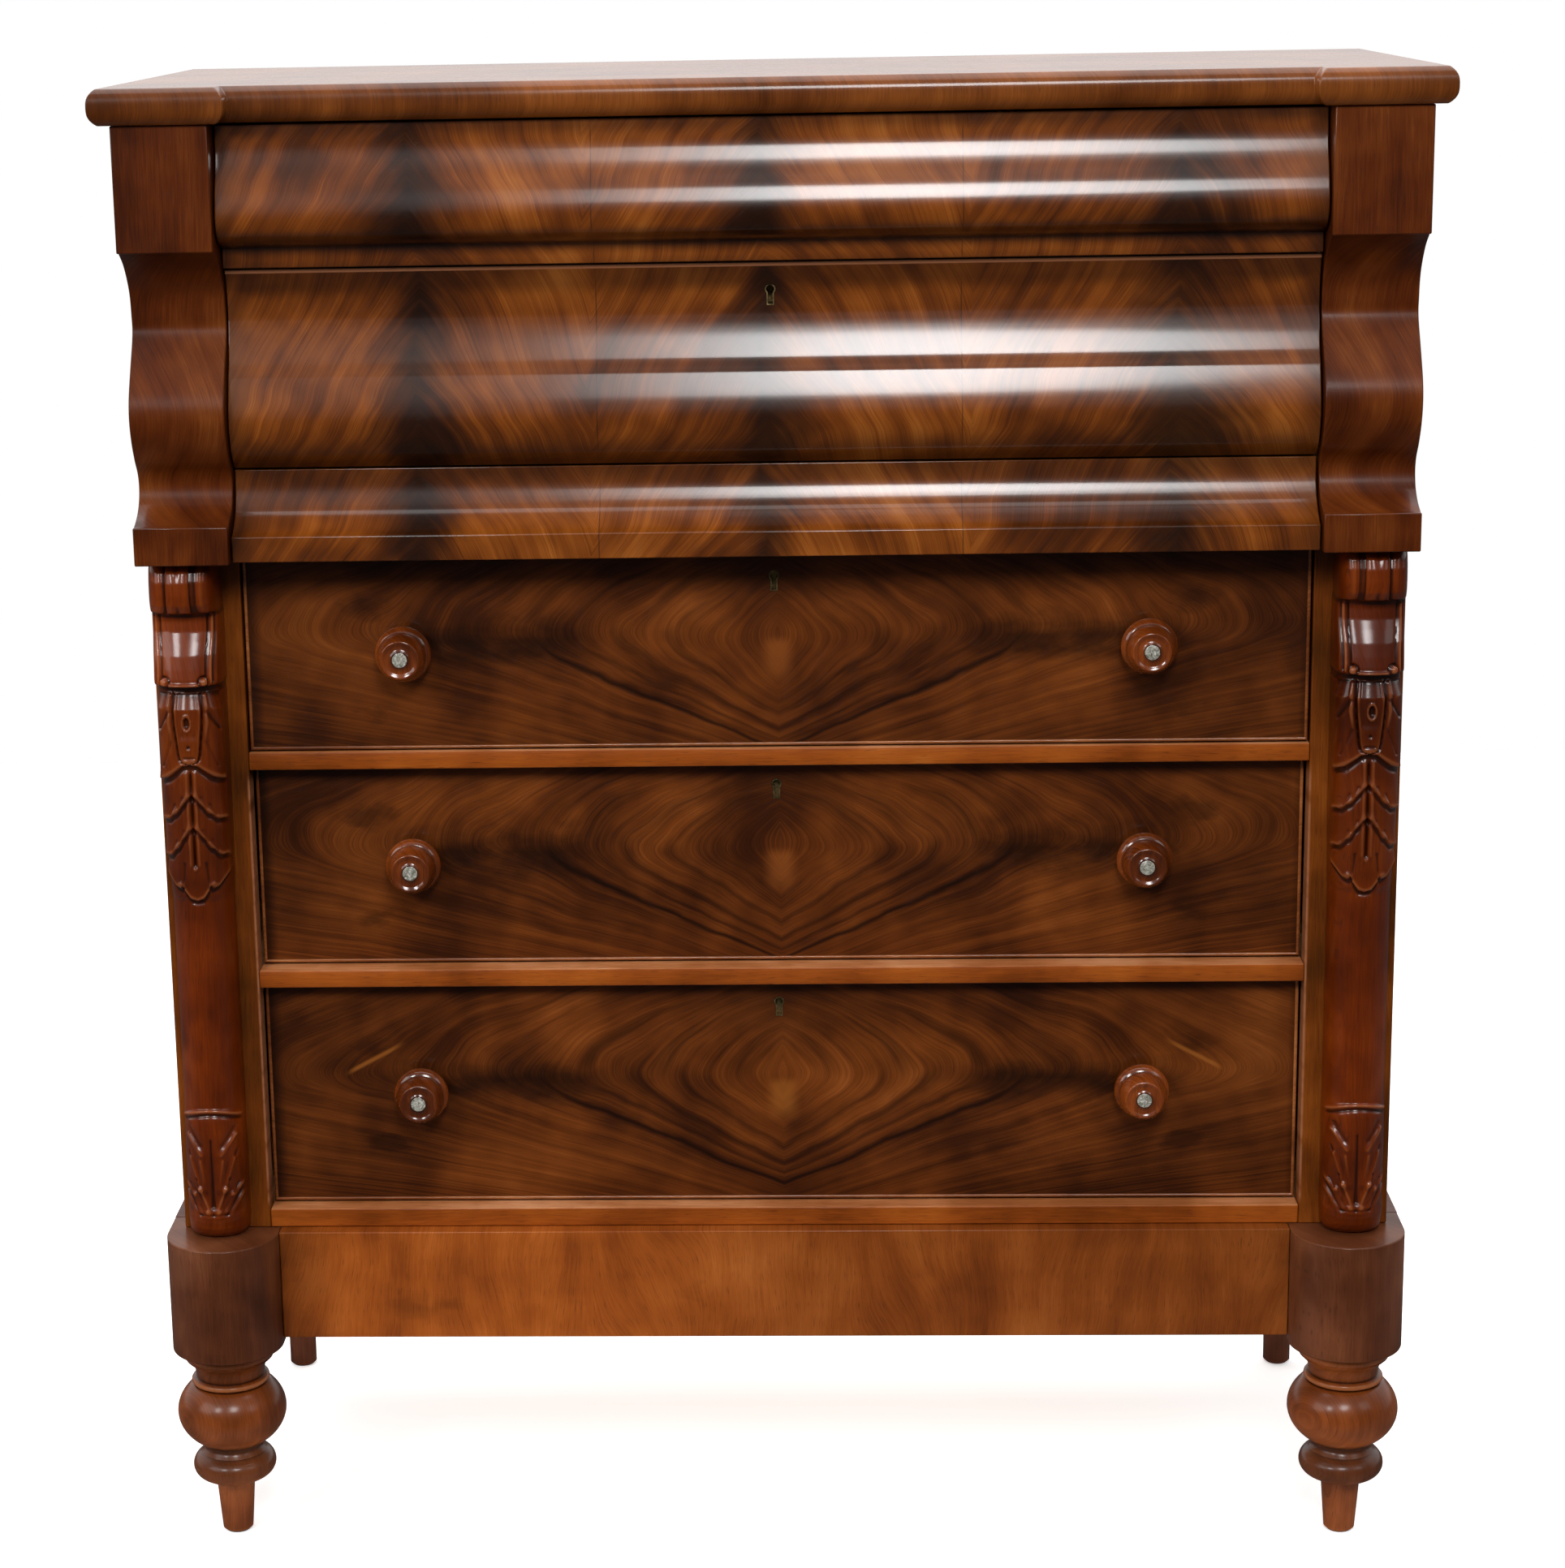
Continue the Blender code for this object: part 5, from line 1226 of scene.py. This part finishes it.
def build_world():
    """White paper behind the object; for light and reflections a dim room, bright behind and overhead."""
    world = bpy.data.worlds.new("studio")
    bpy.context.scene.world = world
    graph = Graph(world, "Generated")
    behind = graph.y.step(-0.3, 0.5, ROOM_BEHIND) * graph.z.step(-0.02, 0.10)
    overhead = graph.z.step(0.1, 1.0, ROOM_ABOVE)
    room, paper = graph.tree.nodes["Background"], graph.new("ShaderNodeBackground", Color=WHITE)
    graph.fill(room, {"Color": WHITE, "Strength": behind + overhead + ROOM_DIM})
    choice = graph.new("ShaderNodeMixShader")
    seen = graph.new("ShaderNodeLightPath").outputs["Is Camera Ray"]
    for source, socket in zip((seen, room.outputs[0], paper.outputs[0]), choice.inputs):
        graph.put(source, socket)
    graph.put(choice.outputs[0], graph.tree.nodes["World Output"].inputs["Surface"])


def build_lights():
    """A tall window seen in the polish, as strips that fade to its sides, and soft fills around."""
    for number, (left, right, share, bottom) in enumerate(WINDOW_STRIPS):
        width, height = right - left, WINDOW_TOP - bottom
        middle = ((left + right) / 2, WINDOW_WALL, (WINDOW_TOP + bottom) / 2)
        power = WINDOW_LIGHT * share * math.pi * width * height
        area_light(f"window_{number}", middle, (middle[0] / 2, 0.0, 1.1), (width, height), power)
    area_light("left_window", (-2.3, -3.8, 3.1), (0.0, 0.0, 0.8), (0.8, 1.0), 55)
    area_light("right_fill", (3.2, -2.6, 2.9), (0.0, 0.0, 0.8), (1.6, 1.6), 16)
    area_light("left_fill", (-3.4, -2.2, 2.4), (0.0, 0.0, 0.6), (2.0, 1.8), 34)
    area_light("ceiling", (0.0, 0.3, 3.6), (0.0, 0.3, 0.0), (3.4, 2.6), 60)


def build_camera():
    """The photograph's camera, with the centre of its lens off the middle of the picture."""
    data = bpy.data.cameras.new("camera")
    camera = bpy.data.objects.new("camera", data)
    bpy.context.scene.collection.objects.link(camera)
    side = max(IMAGE_SIZE)
    data.sensor_width = SENSOR_WIDTH
    data.lens = FOCAL_PIXELS * SENSOR_WIDTH / side
    data.shift_x = (IMAGE_SIZE[0] / 2 - OPTICAL_CENTRE[0]) / side
    data.shift_y = (OPTICAL_CENTRE[1] - IMAGE_SIZE[1] / 2) / side
    turn = Matrix.Rotation(math.radians(CAMERA_YAW), 4, "Z")
    turn = turn @ Matrix.Rotation(math.radians(90 - CAMERA_PITCH), 4, "X")
    turn = turn @ Matrix.Rotation(math.radians(CAMERA_ROLL), 4, "Z")
    camera.matrix_world = Matrix.Translation(CAMERA_PLACE) @ turn
    bpy.context.scene.camera = camera


bpy.context.scene.view_settings.view_transform = "Standard"
build_floor()
build_world()
build_lights()
build_camera()
